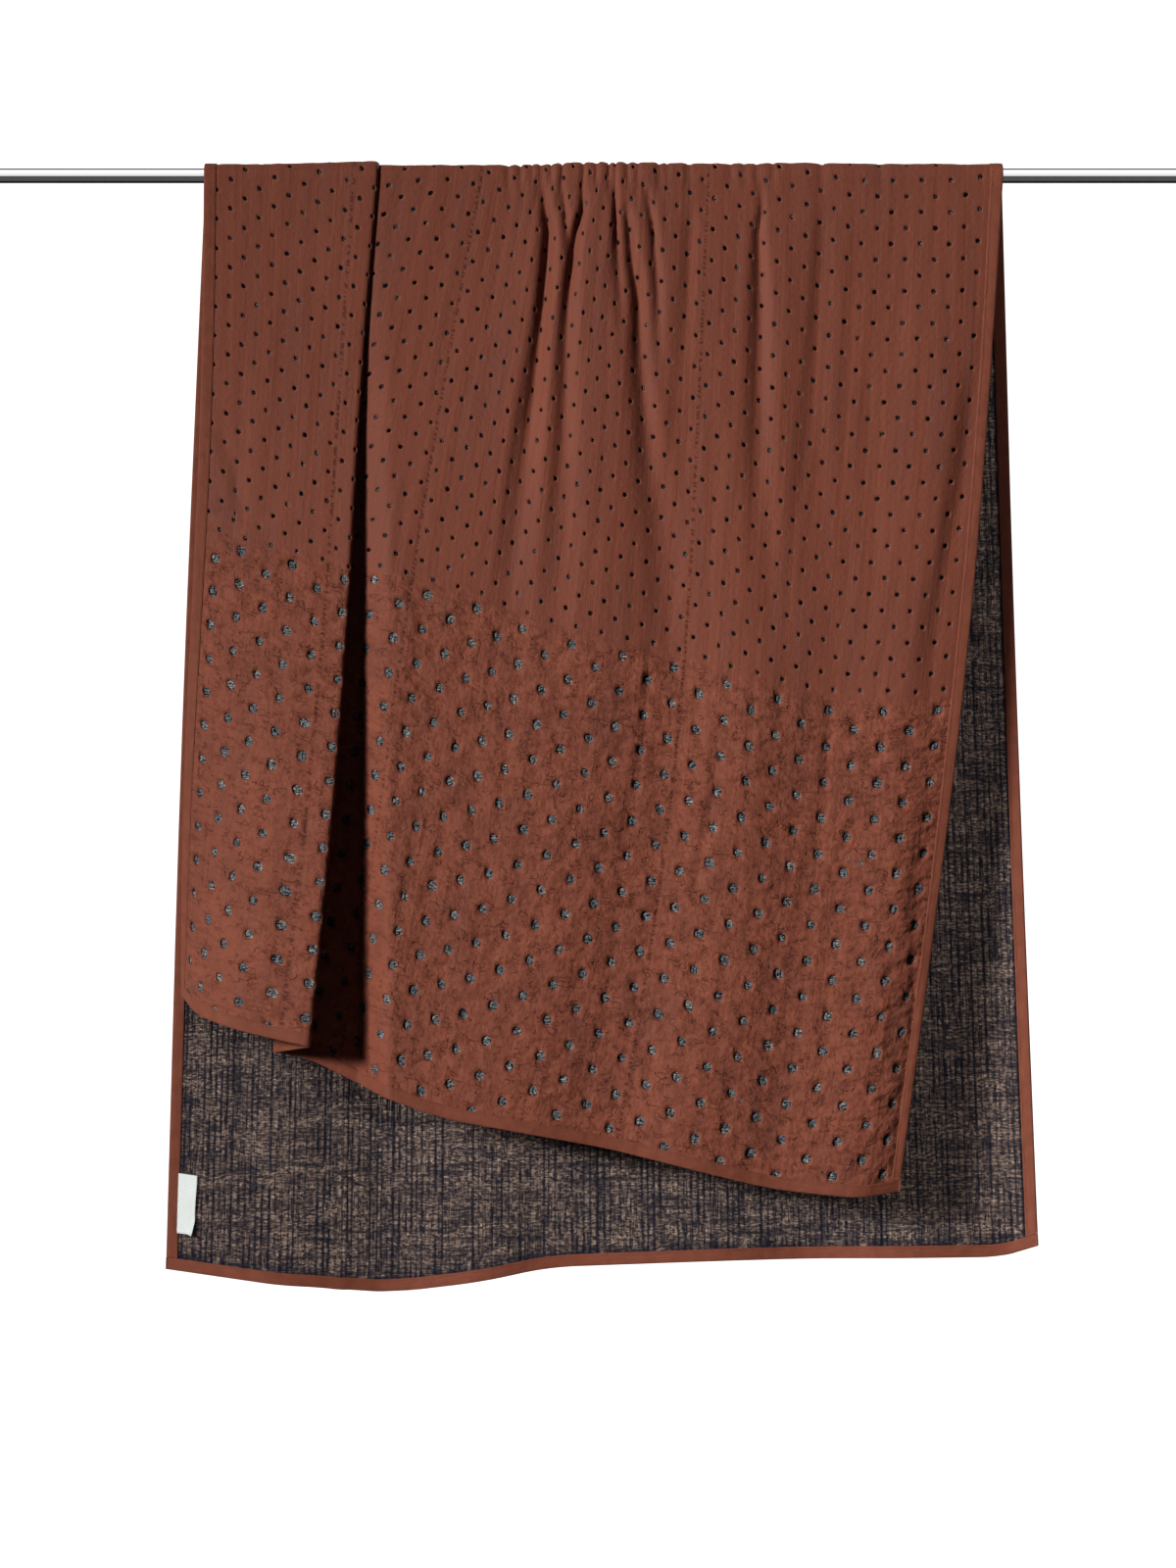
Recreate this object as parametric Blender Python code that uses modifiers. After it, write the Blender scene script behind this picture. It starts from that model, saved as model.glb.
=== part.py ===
"""Throw blanket hung over a round rod, with its front drop skewed and pleated at the left.

X runs right along the rod, -Y faces the viewer and +Z is up. The origin is on the rod's axis, at
mid-length. The throw is one flat cloth: `u` runs across it from the left edge, and `s` runs down a
drop from the rod (0) to the hem (1). The tables give sizes in millimetres.
"""

import bisect
import math
from collections import namedtuple

import bmesh
import bpy
from mathutils import Matrix, Vector

MM = 0.001

# ---- driving sizes (mm) ---------------------------------------------------------------------
WIDTH = 1011.0
ROD_RADIUS = 8.0
ROD_LENGTH = 1400.0
ROD_EDGE = 0.5
ROD_SIDES = 48

FACE_THICKNESS = 1.0
BACKING_THICKNESS = 1.2
LAYER_GAP = 0.5
BINDING_THICKNESS = 0.8
BINDING_WIDTH = 12.0
EDGE_GAP = 0.8
LABEL_THICKNESS = 0.4
LABEL_WIDTH = 22.5
LABEL_LOW = 40.0
LABEL_HIGH = 106.0

CLOTH_HALF = (FACE_THICKNESS + LAYER_GAP + BACKING_THICKNESS) / 2
ROD_STANDOFF = ROD_RADIUS + CLOTH_HALF + 0.7

# ---- how the front drop hangs ---------------------------------------------------------------
# A row is one thread of the cloth that runs down the drop. `x` holds where it passes at the rod, a
# quarter, a half and three quarters of the way down, and at the hem. `off` is how far it stands
# out from the rod's tangent plane at the rod, just under it, and then at the same four places.
# `soft` is how far the bend at that thread is spread to each side.
Thread = namedtuple("Thread", "name u x drop off soft")
X_PLACES = (0.0, 0.25, 0.5, 0.75, 1.0)
OFF_PLACES = (0.0, 0.1, 0.25, 0.5, 0.75, 1.0)

FRONT = (
    Thread("left edge", 0, (-417, -419, -429, -441, -443), 894, (1.5, 1, 1, -2, -8, -16), 1),
    Thread("left curve", 56, (-361, -365, -379, -399, -424), 913, (1.5, 3, 5, 10, 15, 24), 18),
    Thread("left panel", 118, (-296, -307, -322, -350, -384), 930, (1.5, 6, 10, 24, 38, 56), 22),
    Thread("fold front", 184, (-237, -245, -261, -278, -301), 952, (2, 11, 16, 32, 50, 70), 4),
    Thread("fold back", 192, (-234, -245, -261, -278, -301), 952, (1.8, 7, 10, 25.5, 43.5, 63.5), 4),
    Thread("valley front", 241, (-219, -242, -275, -308, -341), 955, (0.8, 3, 5, 9, 11, 13), 4),
    Thread("valley back", 249, (-212, -238, -274, -308, -341), 955, (0.4, 0.5, 1, 3, 4, 6), 4),
    Thread("under layer", 304, (-155, -197, -239, -262, -305), 961, (0.4, 0.5, 1, 2, 3, 4), 20),
    Thread("panel 1", 397, (-67, -113, -149, -193, -235), 996, (1, 2, 6, 4, 2, 2), 30),
    Thread("panel 2", 490, (-8, -42, -72, -106, -157), 1024, (4, 14, 14, 10, 6, 6), 30),
    Thread("panel 3", 583, (45, 29, 11, -17, -67), 1040, (4, 16, 16, 14, 12, 12), 30),
    Thread("panel 4", 676, (122, 110, 98, 67, 20), 1056, (2, 10, 12, 8, 4, 2), 30),
    Thread("panel 5", 769, (205, 196, 183, 157, 110), 1078, (3, 12, 16, 20, 16, 14), 30),
    Thread("panel 6", 862, (298, 285, 262, 245, 201), 1101, (2, 5, 8, 12, 6, 2), 30),
    Thread("panel 7", 955, (392, 386, 351, 331, 293), 1113, (1.5, 6, 14, 16, 12, 8), 20),
    Thread("right edge", 1011, (451, 434, 410, 375, 337), 1110, (1.5, 3, 3, 8, -8, -14), 1),
)

# The back drop needs fewer places: the rod, half way down and the hem. Its threads leave the rod
# where the front's do.
BACK_PLACES = (0.0, 0.5, 1.0)
BACK = (
    Thread("left edge", 0, (None, -442, -460), 1196, (1, 14, 30), 1),
    Thread("wave 1", 130, (None, -325, -338), 1212, (1, 8, 10), 35),
    Thread("wave 2", 260, (None, -208, -215), 1222, (1, 20, 34), 35),
    Thread("wave 3", 364, (None, -115, -117), 1208, (1, 8, 8), 30),
    Thread("wave 4", 443, (None, -43, -43), 1193, (2, 14, 22), 30),
    Thread("wave 5", 640, (None, 134, 143), 1185, (4, 8, 8), 40),
    Thread("wave 6", 750, (None, 233, 246), 1184, (2, 16, 30), 35),
    Thread("wave 7", 855, (None, 327, 345), 1182, (2, 6, 8), 30),
    Thread("wave 8", 970, (None, 431, 453), 1182, (1, 14, 24), 20),
    Thread("right edge", 1011, (None, 468, 492), 1169, (1, 10, 12), 1),
)

# The main panel comes forward in one soft step beside the pleat's shadow.
STEP_PLACES = (0.0, 0.1, 0.25, 0.5, 0.75, 1.0)
STEP_RISE = (0, 3, 10, 20, 34, 46)
STEP_FOOT_X = -252.0
STEP_CREST_X = -212.0
STEP_FROM_U = 249.0
STEP_FADE_U = 20.0

# Valleys that the gathers at the rod send down each drop. Their line drifts across the threads.
Valley = namedtuple("Valley", "name u width depth")
VALLEY_PLACES = (0.0, 0.1, 0.5, 1.0)
FRONT_VALLEYS = (
    Valley("gather 1", (424, 450, 469, 490), (10, 14, 22, 34), (2, 12, 8, 3)),
    Valley("gather 2", (491, 500, 530, 550), (10, 13, 22, 34), (2, 11, 7, 2)),
    Valley("gather 3", (552, 573, 600, 620), (8, 10, 16, 20), (2, 9, 0, 0)),
    Valley("gather 4", (590, 610, 660, 700), (9, 13, 24, 34), (2, 9, 7, 2)),
    Valley("gather 5", (746, 757, 785, 815), (8, 12, 24, 34), (2, 8, 5, 2)),
)
BACK_VALLEYS = (
    Valley("gather 1", (424, 430, 410, 400), (10, 14, 26, 34), (2, 9, 5, 0)),
    Valley("gather 2", (491, 490, 480, 470), (10, 13, 26, 34), (2, 9, 6, 0)),
    Valley("gather 3", (552, 552, 552, 552), (8, 10, 20, 20), (2, 7, 3, 0)),
    Valley("gather 4", (590, 600, 620, 640), (9, 13, 26, 34), (2, 9, 6, 0)),
    Valley("gather 5", (746, 740, 720, 700), (8, 12, 26, 34), (2, 7, 4, 0)),
)

# ---- the grid that the solids are built on --------------------------------------------------
COLUMNS = (
    0, BINDING_WIDTH, BINDING_WIDTH + LABEL_WIDTH, 70, 115, 176, 184, 192, 241, 249, 275,
    304, 340, 370, 400, 426, 452, 478, 502, 526, 552, 580, 606, 640, 676, 720, 756, 790, 830,
    880, 930, 970, WIDTH - BINDING_WIDTH, WIDTH,
)
FRONT_ROWS = (0.05, 0.12, 0.23, 0.36, 0.5, 0.63, 0.76, 0.88)
BACK_ROWS = (0.06, 0.18, 0.36, 0.56, 0.76)
ROD_ROWS = 6

COLOURS = {
    "face": (0.181, 0.060, 0.038, 1),
    "backing": (0.058, 0.044, 0.040, 1),
    "binding": (0.200, 0.068, 0.043, 1),
    "label": (0.85, 0.87, 0.85, 1),
    "chrome": (0.78, 0.78, 0.80, 1),
}


# ---- reading the tables ---------------------------------------------------------------------
def along(places, values, s):
    """Value at s between named places, straight from one place to the next."""
    index = min(max(bisect.bisect_right(places, s) - 1, 0), len(places) - 2)
    share = (s - places[index]) / (places[index + 1] - places[index])
    return values[index] + (values[index + 1] - values[index]) * share


def smooth_along(places, values, s, reach):
    """The same with its corners rounded over `reach`; the two ends stay as they are."""
    reach = min(reach, s, 1 - s) if 0 < s < 1 else 0
    steps = (-1, -0.5, 0, 0.5, 1)
    return sum(along(places, values, s + reach * step) for step in steps) / len(steps)


def across(rows, u, read):
    """Read a value of the two threads beside u, with each thread's bend spread to its sides."""
    places = [row.u for row in rows]
    softness = [row.soft for row in rows]
    values = [read(row) for row in rows]
    reach = min(along(places, softness, u), max(u, 0), max(WIDTH - u, 0))
    steps = (-1, -0.75, -0.5, -0.25, 0, 0.25, 0.5, 0.75, 1)
    return sum(along(places, values, u + reach * step) for step in steps) / len(steps)


def valley_depth(valleys, u, s):
    """How far the valleys near (u, s) take the cloth back toward the rod's plane."""
    total = 0.0
    for valley in valleys:
        centre = smooth_along(VALLEY_PLACES, valley.u, s, 0.05)
        width = smooth_along(VALLEY_PLACES, valley.width, s, 0.05)
        depth = smooth_along(VALLEY_PLACES, valley.depth, s, 0.05)
        total += depth * math.exp(-(((u - centre) / width) ** 2))
    return total


def step_forward(u, x, s):
    """The main panel's soft step, which starts past the pleat."""
    start = min(max((u - STEP_FROM_U) / STEP_FADE_U, 0), 1)
    share = min(max((x - STEP_FOOT_X) / (STEP_CREST_X - STEP_FOOT_X), 0), 1)
    rise = smooth_along(STEP_PLACES, STEP_RISE, s, 0.05)
    return rise * start * share * share * (3 - 2 * share)


# ---- where the cloth's middle surface lies --------------------------------------------------
def rod_x(u):
    return across(FRONT, u, lambda row: row.x[0])


def rod_reach(u):
    """Radius of the middle surface over the rod, with the gathers puffed out a little."""
    off = across(FRONT, u, lambda row: row.off[0])
    return ROD_STANDOFF + max(off - valley_depth(FRONT_VALLEYS, u, 0), 0)


def front_point(u, s):
    x = across(FRONT, u, lambda row: smooth_along(X_PLACES, row.x, s, 0.12))
    off = across(FRONT, u, lambda row: smooth_along(OFF_PLACES, row.off, s, 0.05))
    off += step_forward(u, x, s) - valley_depth(FRONT_VALLEYS, u, s)
    if s == 0:
        off = rod_reach(u) - ROD_STANDOFF
    drop = across(FRONT, u, lambda row: row.drop)
    return Vector((x, -(ROD_STANDOFF + off), -drop * s))


def back_point(u, s):
    start = rod_x(u)

    def read_x(row):
        return smooth_along(BACK_PLACES, (start,) + row.x[1:], s, 0.2)

    x = across(BACK, u, read_x)
    off = across(BACK, u, lambda row: smooth_along(BACK_PLACES, row.off, s, 0.2))
    off -= valley_depth(BACK_VALLEYS, u, s)
    if s == 0:
        off = rod_reach(u) - ROD_STANDOFF
    drop = across(BACK, u, lambda row: row.drop)
    return Vector((x, ROD_STANDOFF + off, -drop * s))


def rod_point(u, angle):
    """Over the rod: the angle runs from the front tangent (0) to the back one (pi)."""
    reach = rod_reach(u)
    return Vector((rod_x(u), -reach * math.cos(angle), reach * math.sin(angle)))


def column_points(u):
    """One thread of the cloth, from the front hem over the rod to the back hem."""
    front_drop = across(FRONT, u, lambda row: row.drop)
    back_drop = across(BACK, u, lambda row: row.drop)
    binding_start = 1 - BINDING_WIDTH / front_drop
    points = [front_point(u, 1), front_point(u, binding_start)]
    points += [front_point(u, s) for s in reversed(FRONT_ROWS)]
    points += [rod_point(u, math.pi * step / ROD_ROWS) for step in range(ROD_ROWS + 1)]
    points += [back_point(u, s) for s in BACK_ROWS]
    for height in (LABEL_HIGH, LABEL_LOW, BINDING_WIDTH):
        points.append(back_point(u, 1 - height / back_drop))
    points.append(back_point(u, 1))
    return points


class Sheet:
    """The middle surface of the cloth as a grid of points and offset directions, in metres.

    A direction is the normal, lengthened at bends so that layers keep their distance there.
    """

    def __init__(self):
        self.points = [[point * MM for point in column_points(u)] for u in COLUMNS]
        self.columns = len(self.points)
        self.rows = len(self.points[0])
        self.directions = [[Vector((0, 0, 1))] * self.rows for _ in range(self.columns)]
        mesh = self.grid_mesh([(i, 0) for i in range(self.columns)], range(self.rows))
        mesh.normal_update()
        directions = [even_direction(vert) for vert in mesh.verts]
        self.directions = [
            directions[i * self.rows : (i + 1) * self.rows] for i in range(self.columns)
        ]
        mesh.free()

    def at(self, i, j, offset):
        """Point at grid place (i, j), which may lie between or just past the grid's lines."""
        column = min(max(math.floor(i), 0), self.columns - 2)
        row = min(max(math.floor(j), 0), self.rows - 2)
        share_i = i - column
        share_j = j - row

        def blend(field):
            low = field[column][row].lerp(field[column][row + 1], share_j)
            high = field[column + 1][row].lerp(field[column + 1][row + 1], share_j)
            return low.lerp(high, share_i)

        return blend(self.points) + blend(self.directions) * offset

    def grid_mesh(self, lines, rows):
        """A triangulated grid: a line is (column, offset) and every row crosses all lines.

        Each cell is cut from its low-u, low-row corner, whichever way the lines run, so layers
        that lie on one another stay parallel.
        """
        rows = list(rows)
        mesh = bmesh.new()
        verts = [[mesh.verts.new(self.at(i, j, offset)) for j in rows] for i, offset in lines]
        for a, b in zip(range(len(lines)), range(1, len(lines))):
            rising = lines[a][0] <= lines[b][0]
            for j in range(len(rows) - 1):
                add_cell(mesh, verts[a][j], verts[b][j], verts[b][j + 1], verts[a][j + 1], rising)
        return mesh


def even_direction(vert):
    """The vertex normal, lengthened by the mean slant of the faces round it."""
    total = 0.0
    weight = 0.0
    for loop in vert.link_loops:
        angle = loop.calc_angle()
        slant = max(vert.normal.dot(loop.face.normal), 0.3)
        total += angle / slant
        weight += angle
    return vert.normal * (total / weight)


def add_cell(mesh, first, second, third, fourth, rising):
    """Two triangles for one cell; `rising` says which diagonal divides it."""
    if rising:
        mesh.faces.new((first, second, third))
        mesh.faces.new((first, third, fourth))
    else:
        mesh.faces.new((first, second, fourth))
        mesh.faces.new((second, third, fourth))


# ---- objects --------------------------------------------------------------------------------
def clear_scene():
    for item in list(bpy.data.objects):
        bpy.data.objects.remove(item, do_unlink=True)


def make_material(name, colour, roughness, metallic=0.0):
    material = bpy.data.materials.new(name)
    material.use_nodes = True
    shader = material.node_tree.nodes["Principled BSDF"]
    shader.inputs["Base Color"].default_value = colour
    shader.inputs["Roughness"].default_value = roughness
    shader.inputs["Metallic"].default_value = metallic
    return material


def add_object(name, built, material, collection):
    """Put a bmesh into the collection as an object with its own material."""
    mesh = bpy.data.meshes.new(name)
    built.to_mesh(mesh)
    built.free()
    item = bpy.data.objects.new(name, mesh)
    item.data.materials.append(material)
    collection.objects.link(item)
    return item


def thicken(item, thickness, centre=0.0):
    """Solidify a surface; `centre` is where the solid's middle lies, measured along the normals."""
    solidify = item.modifiers.new("thickness", "SOLIDIFY")
    solidify.thickness = thickness * MM
    solidify.offset = centre / (thickness / 2)
    solidify.use_even_offset = True
    solidify.use_rim = True


def add_layer(name, sheet, thickness, centre, material, collection):
    surface = sheet.grid_mesh([(i, 0) for i in range(sheet.columns)], range(sheet.rows))
    item = add_object(name, surface, material, collection)
    thicken(item, thickness, centre)
    return item


def binding_section(edge, inner, cell):
    """The folded strip's outline as (grid line, offset) pairs, out and back round the edge.

    `cell` is the size of the grid cell between the edge and the strip's inner line.
    """
    inside = CLOTH_HALF + LAYER_GAP
    outside = inside + BINDING_THICKNESS
    way = 1 if edge > inner else -1
    near = edge + way * EDGE_GAP / cell
    far = edge + way * (EDGE_GAP + BINDING_THICKNESS) / cell
    outer = [(inner, outside), (edge, outside), (far, outside)]
    outer += [(far, -outside), (edge, -outside), (inner, -outside)]
    back = [(inner, -inside), (edge, -inside), (near, -inside)]
    back += [(near, inside), (edge, inside), (inner, inside)]
    return outer + back


def loft_strip(sheet, section, stations, along_u):
    """Join the section's copies at each station into one closed strip with flat ends."""
    if along_u:
        rings = [[sheet.at(i, j, offset * MM) for j, offset in section] for i in stations]
    else:
        rings = [[sheet.at(i, j, offset * MM) for i, offset in section] for j in stations]
    mesh = bmesh.new()
    verts = [[mesh.verts.new(point) for point in ring] for ring in rings]
    size = len(section)
    for low, high in zip(verts, verts[1:]):
        for k in range(size):
            after = (k + 1) % size
            rising = section[k][0] <= section[after][0]
            if along_u:
                add_cell(mesh, low[k], high[k], high[after], low[after], rising)
            else:
                add_cell(mesh, low[k], low[after], high[after], high[k], rising)
    for ring in (verts[0], verts[-1]):
        for k in range(size // 2 - 1):
            mesh.faces.new((ring[k], ring[k + 1], ring[size - 2 - k], ring[size - 1 - k]))
    bmesh.ops.recalc_face_normals(mesh, faces=mesh.faces)
    return mesh


def add_side_binding(name, sheet, edge, inner, material, collection):
    """A strip folded round a side edge, from hem binding to hem binding."""
    section = binding_section(edge, inner, BINDING_WIDTH)
    front_cell = (sheet.points[inner][2] - sheet.points[inner][1]).length / MM
    back_cell = (sheet.points[inner][-3] - sheet.points[inner][-2]).length / MM
    start = 1 + 2 * LAYER_GAP / front_cell
    end = sheet.rows - 2 - 2 * LAYER_GAP / back_cell
    stations = [start] + list(range(2, sheet.rows - 2)) + [end]
    return add_object(name, loft_strip(sheet, section, stations, False), material, collection)


def add_hem_binding(name, sheet, edge, inner, material, collection):
    """A strip folded round a hem, the full width of the cloth."""
    section = binding_section(edge, inner, BINDING_WIDTH)
    side = (EDGE_GAP + BINDING_THICKNESS) / BINDING_WIDTH
    last = sheet.columns - 1
    stations = [-side] + list(range(sheet.columns)) + [last + side]
    return add_object(name, loft_strip(sheet, section, stations, True), material, collection)


def add_label(name, sheet, material, collection):
    """The bare label on the reverse, low at the back drop's left edge."""
    offset = -(CLOTH_HALF + 1.2 * LAYER_GAP + LABEL_THICKNESS / 2) * MM
    beside_binding = 1 + 2 * LAYER_GAP / LABEL_WIDTH
    rows = (sheet.rows - 4, sheet.rows - 3)
    surface = sheet.grid_mesh([(beside_binding, offset), (2, offset)], rows)
    item = add_object(name, surface, material, collection)
    thicken(item, LABEL_THICKNESS)
    return item


def add_rod(name, material, collection):
    """A plain round bar along X with flat, slightly broken ends."""
    built = bmesh.new()
    bmesh.ops.create_cone(
        built,
        cap_ends=True,
        segments=ROD_SIDES,
        radius1=ROD_RADIUS * MM,
        radius2=ROD_RADIUS * MM,
        depth=ROD_LENGTH * MM,
        matrix=Matrix.Rotation(math.pi / 2, 4, "Y"),
    )
    item = add_object(name, built, material, collection)
    bevel = item.modifiers.new("broken edge", "BEVEL")
    bevel.width = ROD_EDGE * MM
    bevel.segments = 1
    bevel.limit_method = "ANGLE"
    bevel.angle_limit = math.radians(40)
    item.data.shade_smooth()
    item.data.set_sharp_from_angle(angle=math.radians(40))
    return item


def main():
    clear_scene()
    collection = bpy.data.collections.new("throw blanket on a rod")
    bpy.context.scene.collection.children.link(collection)

    face = make_material("brown cotton", COLOURS["face"], 0.75)
    backing = make_material("charcoal weave", COLOURS["backing"], 0.9)
    binding = make_material("brown binding", COLOURS["binding"], 0.75)
    label = make_material("white label", COLOURS["label"], 0.8)
    chrome = make_material("chrome", COLOURS["chrome"], 0.12, metallic=1.0)

    sheet = Sheet()
    face_centre = CLOTH_HALF - FACE_THICKNESS / 2
    backing_centre = -(CLOTH_HALF - BACKING_THICKNESS / 2)
    add_rod("rod", chrome, collection)
    add_layer("face_cloth", sheet, FACE_THICKNESS, face_centre, face, collection)
    add_layer("backing_cloth", sheet, BACKING_THICKNESS, backing_centre, backing, collection)

    last_column = sheet.columns - 1
    last_row = sheet.rows - 1
    add_side_binding("binding_left", sheet, 0, 1, binding, collection)
    add_side_binding("binding_right", sheet, last_column, last_column - 1, binding, collection)
    add_hem_binding("binding_front_hem", sheet, 0, 1, binding, collection)
    add_hem_binding("binding_back_hem", sheet, last_row, last_row - 1, binding, collection)
    add_label("label", sheet, label, collection)


main()
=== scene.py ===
import math
from collections import namedtuple

import bpy
import numpy as np
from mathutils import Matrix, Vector


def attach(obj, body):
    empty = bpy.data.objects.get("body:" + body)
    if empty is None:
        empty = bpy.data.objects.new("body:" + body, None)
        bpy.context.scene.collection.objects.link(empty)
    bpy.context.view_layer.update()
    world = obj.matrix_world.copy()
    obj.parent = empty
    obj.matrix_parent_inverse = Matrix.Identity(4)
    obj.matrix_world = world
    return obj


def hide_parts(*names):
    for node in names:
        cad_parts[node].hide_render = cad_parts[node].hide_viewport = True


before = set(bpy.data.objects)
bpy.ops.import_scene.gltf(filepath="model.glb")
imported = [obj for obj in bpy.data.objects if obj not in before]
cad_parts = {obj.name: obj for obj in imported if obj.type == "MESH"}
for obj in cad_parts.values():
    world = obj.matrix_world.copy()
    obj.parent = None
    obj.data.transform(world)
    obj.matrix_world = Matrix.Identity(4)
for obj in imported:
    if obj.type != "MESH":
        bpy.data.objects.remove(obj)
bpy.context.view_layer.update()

bl_info = {
    "name": "Throw blanket on a rod",
    "version": (1, 0, 0),
    "blender": (4, 5, 0),
    "location": "View3D > Sidebar > Throw",
    "description": "Builds a punched, lined and bound throw blanket that hangs over a rod",
    "category": "Object",
}

MM = 0.001
WIDTH = 1011.0
ROD_STANDOFF = 10.05
ARC = 34.0

# ---- how the cloth hangs (mm) ---------------------------------------------------------------
# A row is one thread of the cloth that runs down a drop. `u` is its place across the flat cloth.
# `x` holds where it passes at the rod, a quarter, a half and three quarters of the way down, and
# at the hem. `off` is how far it stands out from the rod's tangent plane at the rod, just under
# it, and then at the same four places. `soft` is how far the bend there is spread to each side.
Thread = namedtuple("Thread", "name u x drop off soft")
X_PLACES = (0.0, 0.25, 0.5, 0.75, 1.0)
OFF_PLACES = (0.0, 0.1, 0.25, 0.5, 0.75, 1.0)
# How far the corners at those places are rounded, as shares of the drop.
X_SPREAD, OFF_SPREAD, U_SPREAD = 0.12, 0.05, 0.1

# The pleat's inner fold crosses the threads on its way down, so its rows hold the threads that
# it passes at the same five places.
VALLEY_FRONT = (203, 215, 232, 241, 254)
VALLEY_BACK = (210, 223, 241, 250, 263)

FRONT = [Thread(*row) for row in (
    ("left edge", 0, (-417, -419, -429, -441, -443), 894, (1.5, 1, 1, -2, -8, -16), 1),
    ("left curve", 56, (-361, -365, -379, -399, -424), 913, (1.5, 3, 5, 10, 15, 24), 18),
    ("left panel", 118, (-296, -307, -322, -350, -384), 927, (3.0, 4, 7, 20, 38, 58), 22),
    ("over pleat", 160, (-254, -270, -283, -304, -331), 939, (4.4, 6.5, 10, 24, 45, 67), 12),
    ("fold front", 184, (-230, -249, -261, -278, -301), 945, (4.4, 7.5, 11.5, 27, 50, 74), 3),
    ("fold back", 191, (-229, -248, -260, -277, -300), 946, (3.6, 5.5, 9, 23, 45, 68), 3),
    ("valley front", VALLEY_FRONT, (-252, -282, -305, -318, -341), 955, (2, 3.6, 4.2, 6, 9, 11), 3),
    ("valley back", VALLEY_BACK, (-251, -281, -304, -317, -340), 955, (0.2, 0.5, 1, 2, 3, 5), 3),
    ("under layer", 304, (-155, -197, -239, -262, -305), 961, (0.4, 0.5, 1, 2, 3, 4), 20),
    ("panel 1", 397, (-67, -113, -149, -193, -235), 996, (1, 2, 6, 4, 2, 2), 30),
    ("panel 2", 490, (-8, -42, -72, -106, -157), 1024, (4, 14, 14, 10, 6, 6), 30),
    ("panel 3", 583, (45, 29, 11, -17, -67), 1040, (4, 16, 16, 14, 12, 12), 30),
    ("panel 4", 676, (122, 110, 98, 67, 20), 1056, (2, 10, 12, 8, 4, 2), 30),
    ("panel 5", 769, (205, 196, 183, 157, 110), 1078, (3, 12, 16, 20, 16, 14), 30),
    ("panel 6", 862, (298, 285, 262, 245, 201), 1101, (2, 5, 8, 12, 6, 2), 30),
    ("panel 7", 955, (392, 386, 351, 330, 292), 1110, (1.5, 6, 14, 16, 12, 8), 20),
    ("right edge", 1011, (451, 433, 408.5, 373, 335), 1104, (1.5, 3, 3, 7, -2, -5), 1),
)]

# The back drop's threads leave the rod where the front's do, so `x` holds only half way down and
# the hem. `off` is at the rod, just under it, a third, half way down and at the hem.
BACK_X_PLACES = (0.0, 0.5, 1.0)
BACK_OFF_PLACES = (0.0, 0.1, 0.3, 0.5, 1.0)
BACK_X_SPREAD, BACK_OFF_SPREAD = 0.2, 0.08
BACK = [Thread(*row) for row in (
    ("left edge", 0, (-444.5, -462.5), 1196, (1, 3, 9, 14, 30), 1),
    ("wave 1", 130, (-325, -338), 1212, (1.5, 3, 6, 8, 10), 20),
    ("over pleat", 160, (-297, -308), 1214, (4.2, 8, 10, 11, 16), 12),
    ("fold front", 184, (-275, -286), 1216, (4.4, 9, 12, 13, 20), 3),
    ("fold back", 191, (-268, -280), 1217, (3.6, 7.5, 10.5, 13, 21), 3),
    ("valley front", 203, (-259, -269), 1218, (2, 4.2, 8, 13, 23), 3),
    ("valley back", 210, (-254, -263), 1218, (0.2, 1, 5, 14, 25), 3),
    ("wave 2", 262, (-208, -215), 1222, (0.5, 3, 12, 20, 34), 35),
    ("wave 3", 364, (-115, -117), 1208, (1, 2, 6, 8, 8), 30),
    ("wave 4", 443, (-43, -43), 1193, (2, 6, 12, 14, 22), 30),
    ("wave 5", 640, (134, 143), 1185, (4, 6, 8, 8, 8), 40),
    ("wave 6", 750, (233, 246), 1184, (2, 5, 13, 16, 30), 35),
    ("wave 7", 855, (327, 345), 1182, (2, 3, 5, 6, 8), 30),
    ("wave 8", 970, (431, 453), 1182, (1, 4, 11, 14, 24), 20),
    ("right edge", 1011, (468, 492), 1169, (1, 3, 8, 10, 12), 1),
)]

# The main panel comes forward in one soft step beside the pleat's shadow.
STEP_RISE = (0, 3, 10, 20, 34, 46)
STEP_FOOT_X = -252.0
STEP_CREST_X = -212.0
STEP_FADE_U = 15.0

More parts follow.
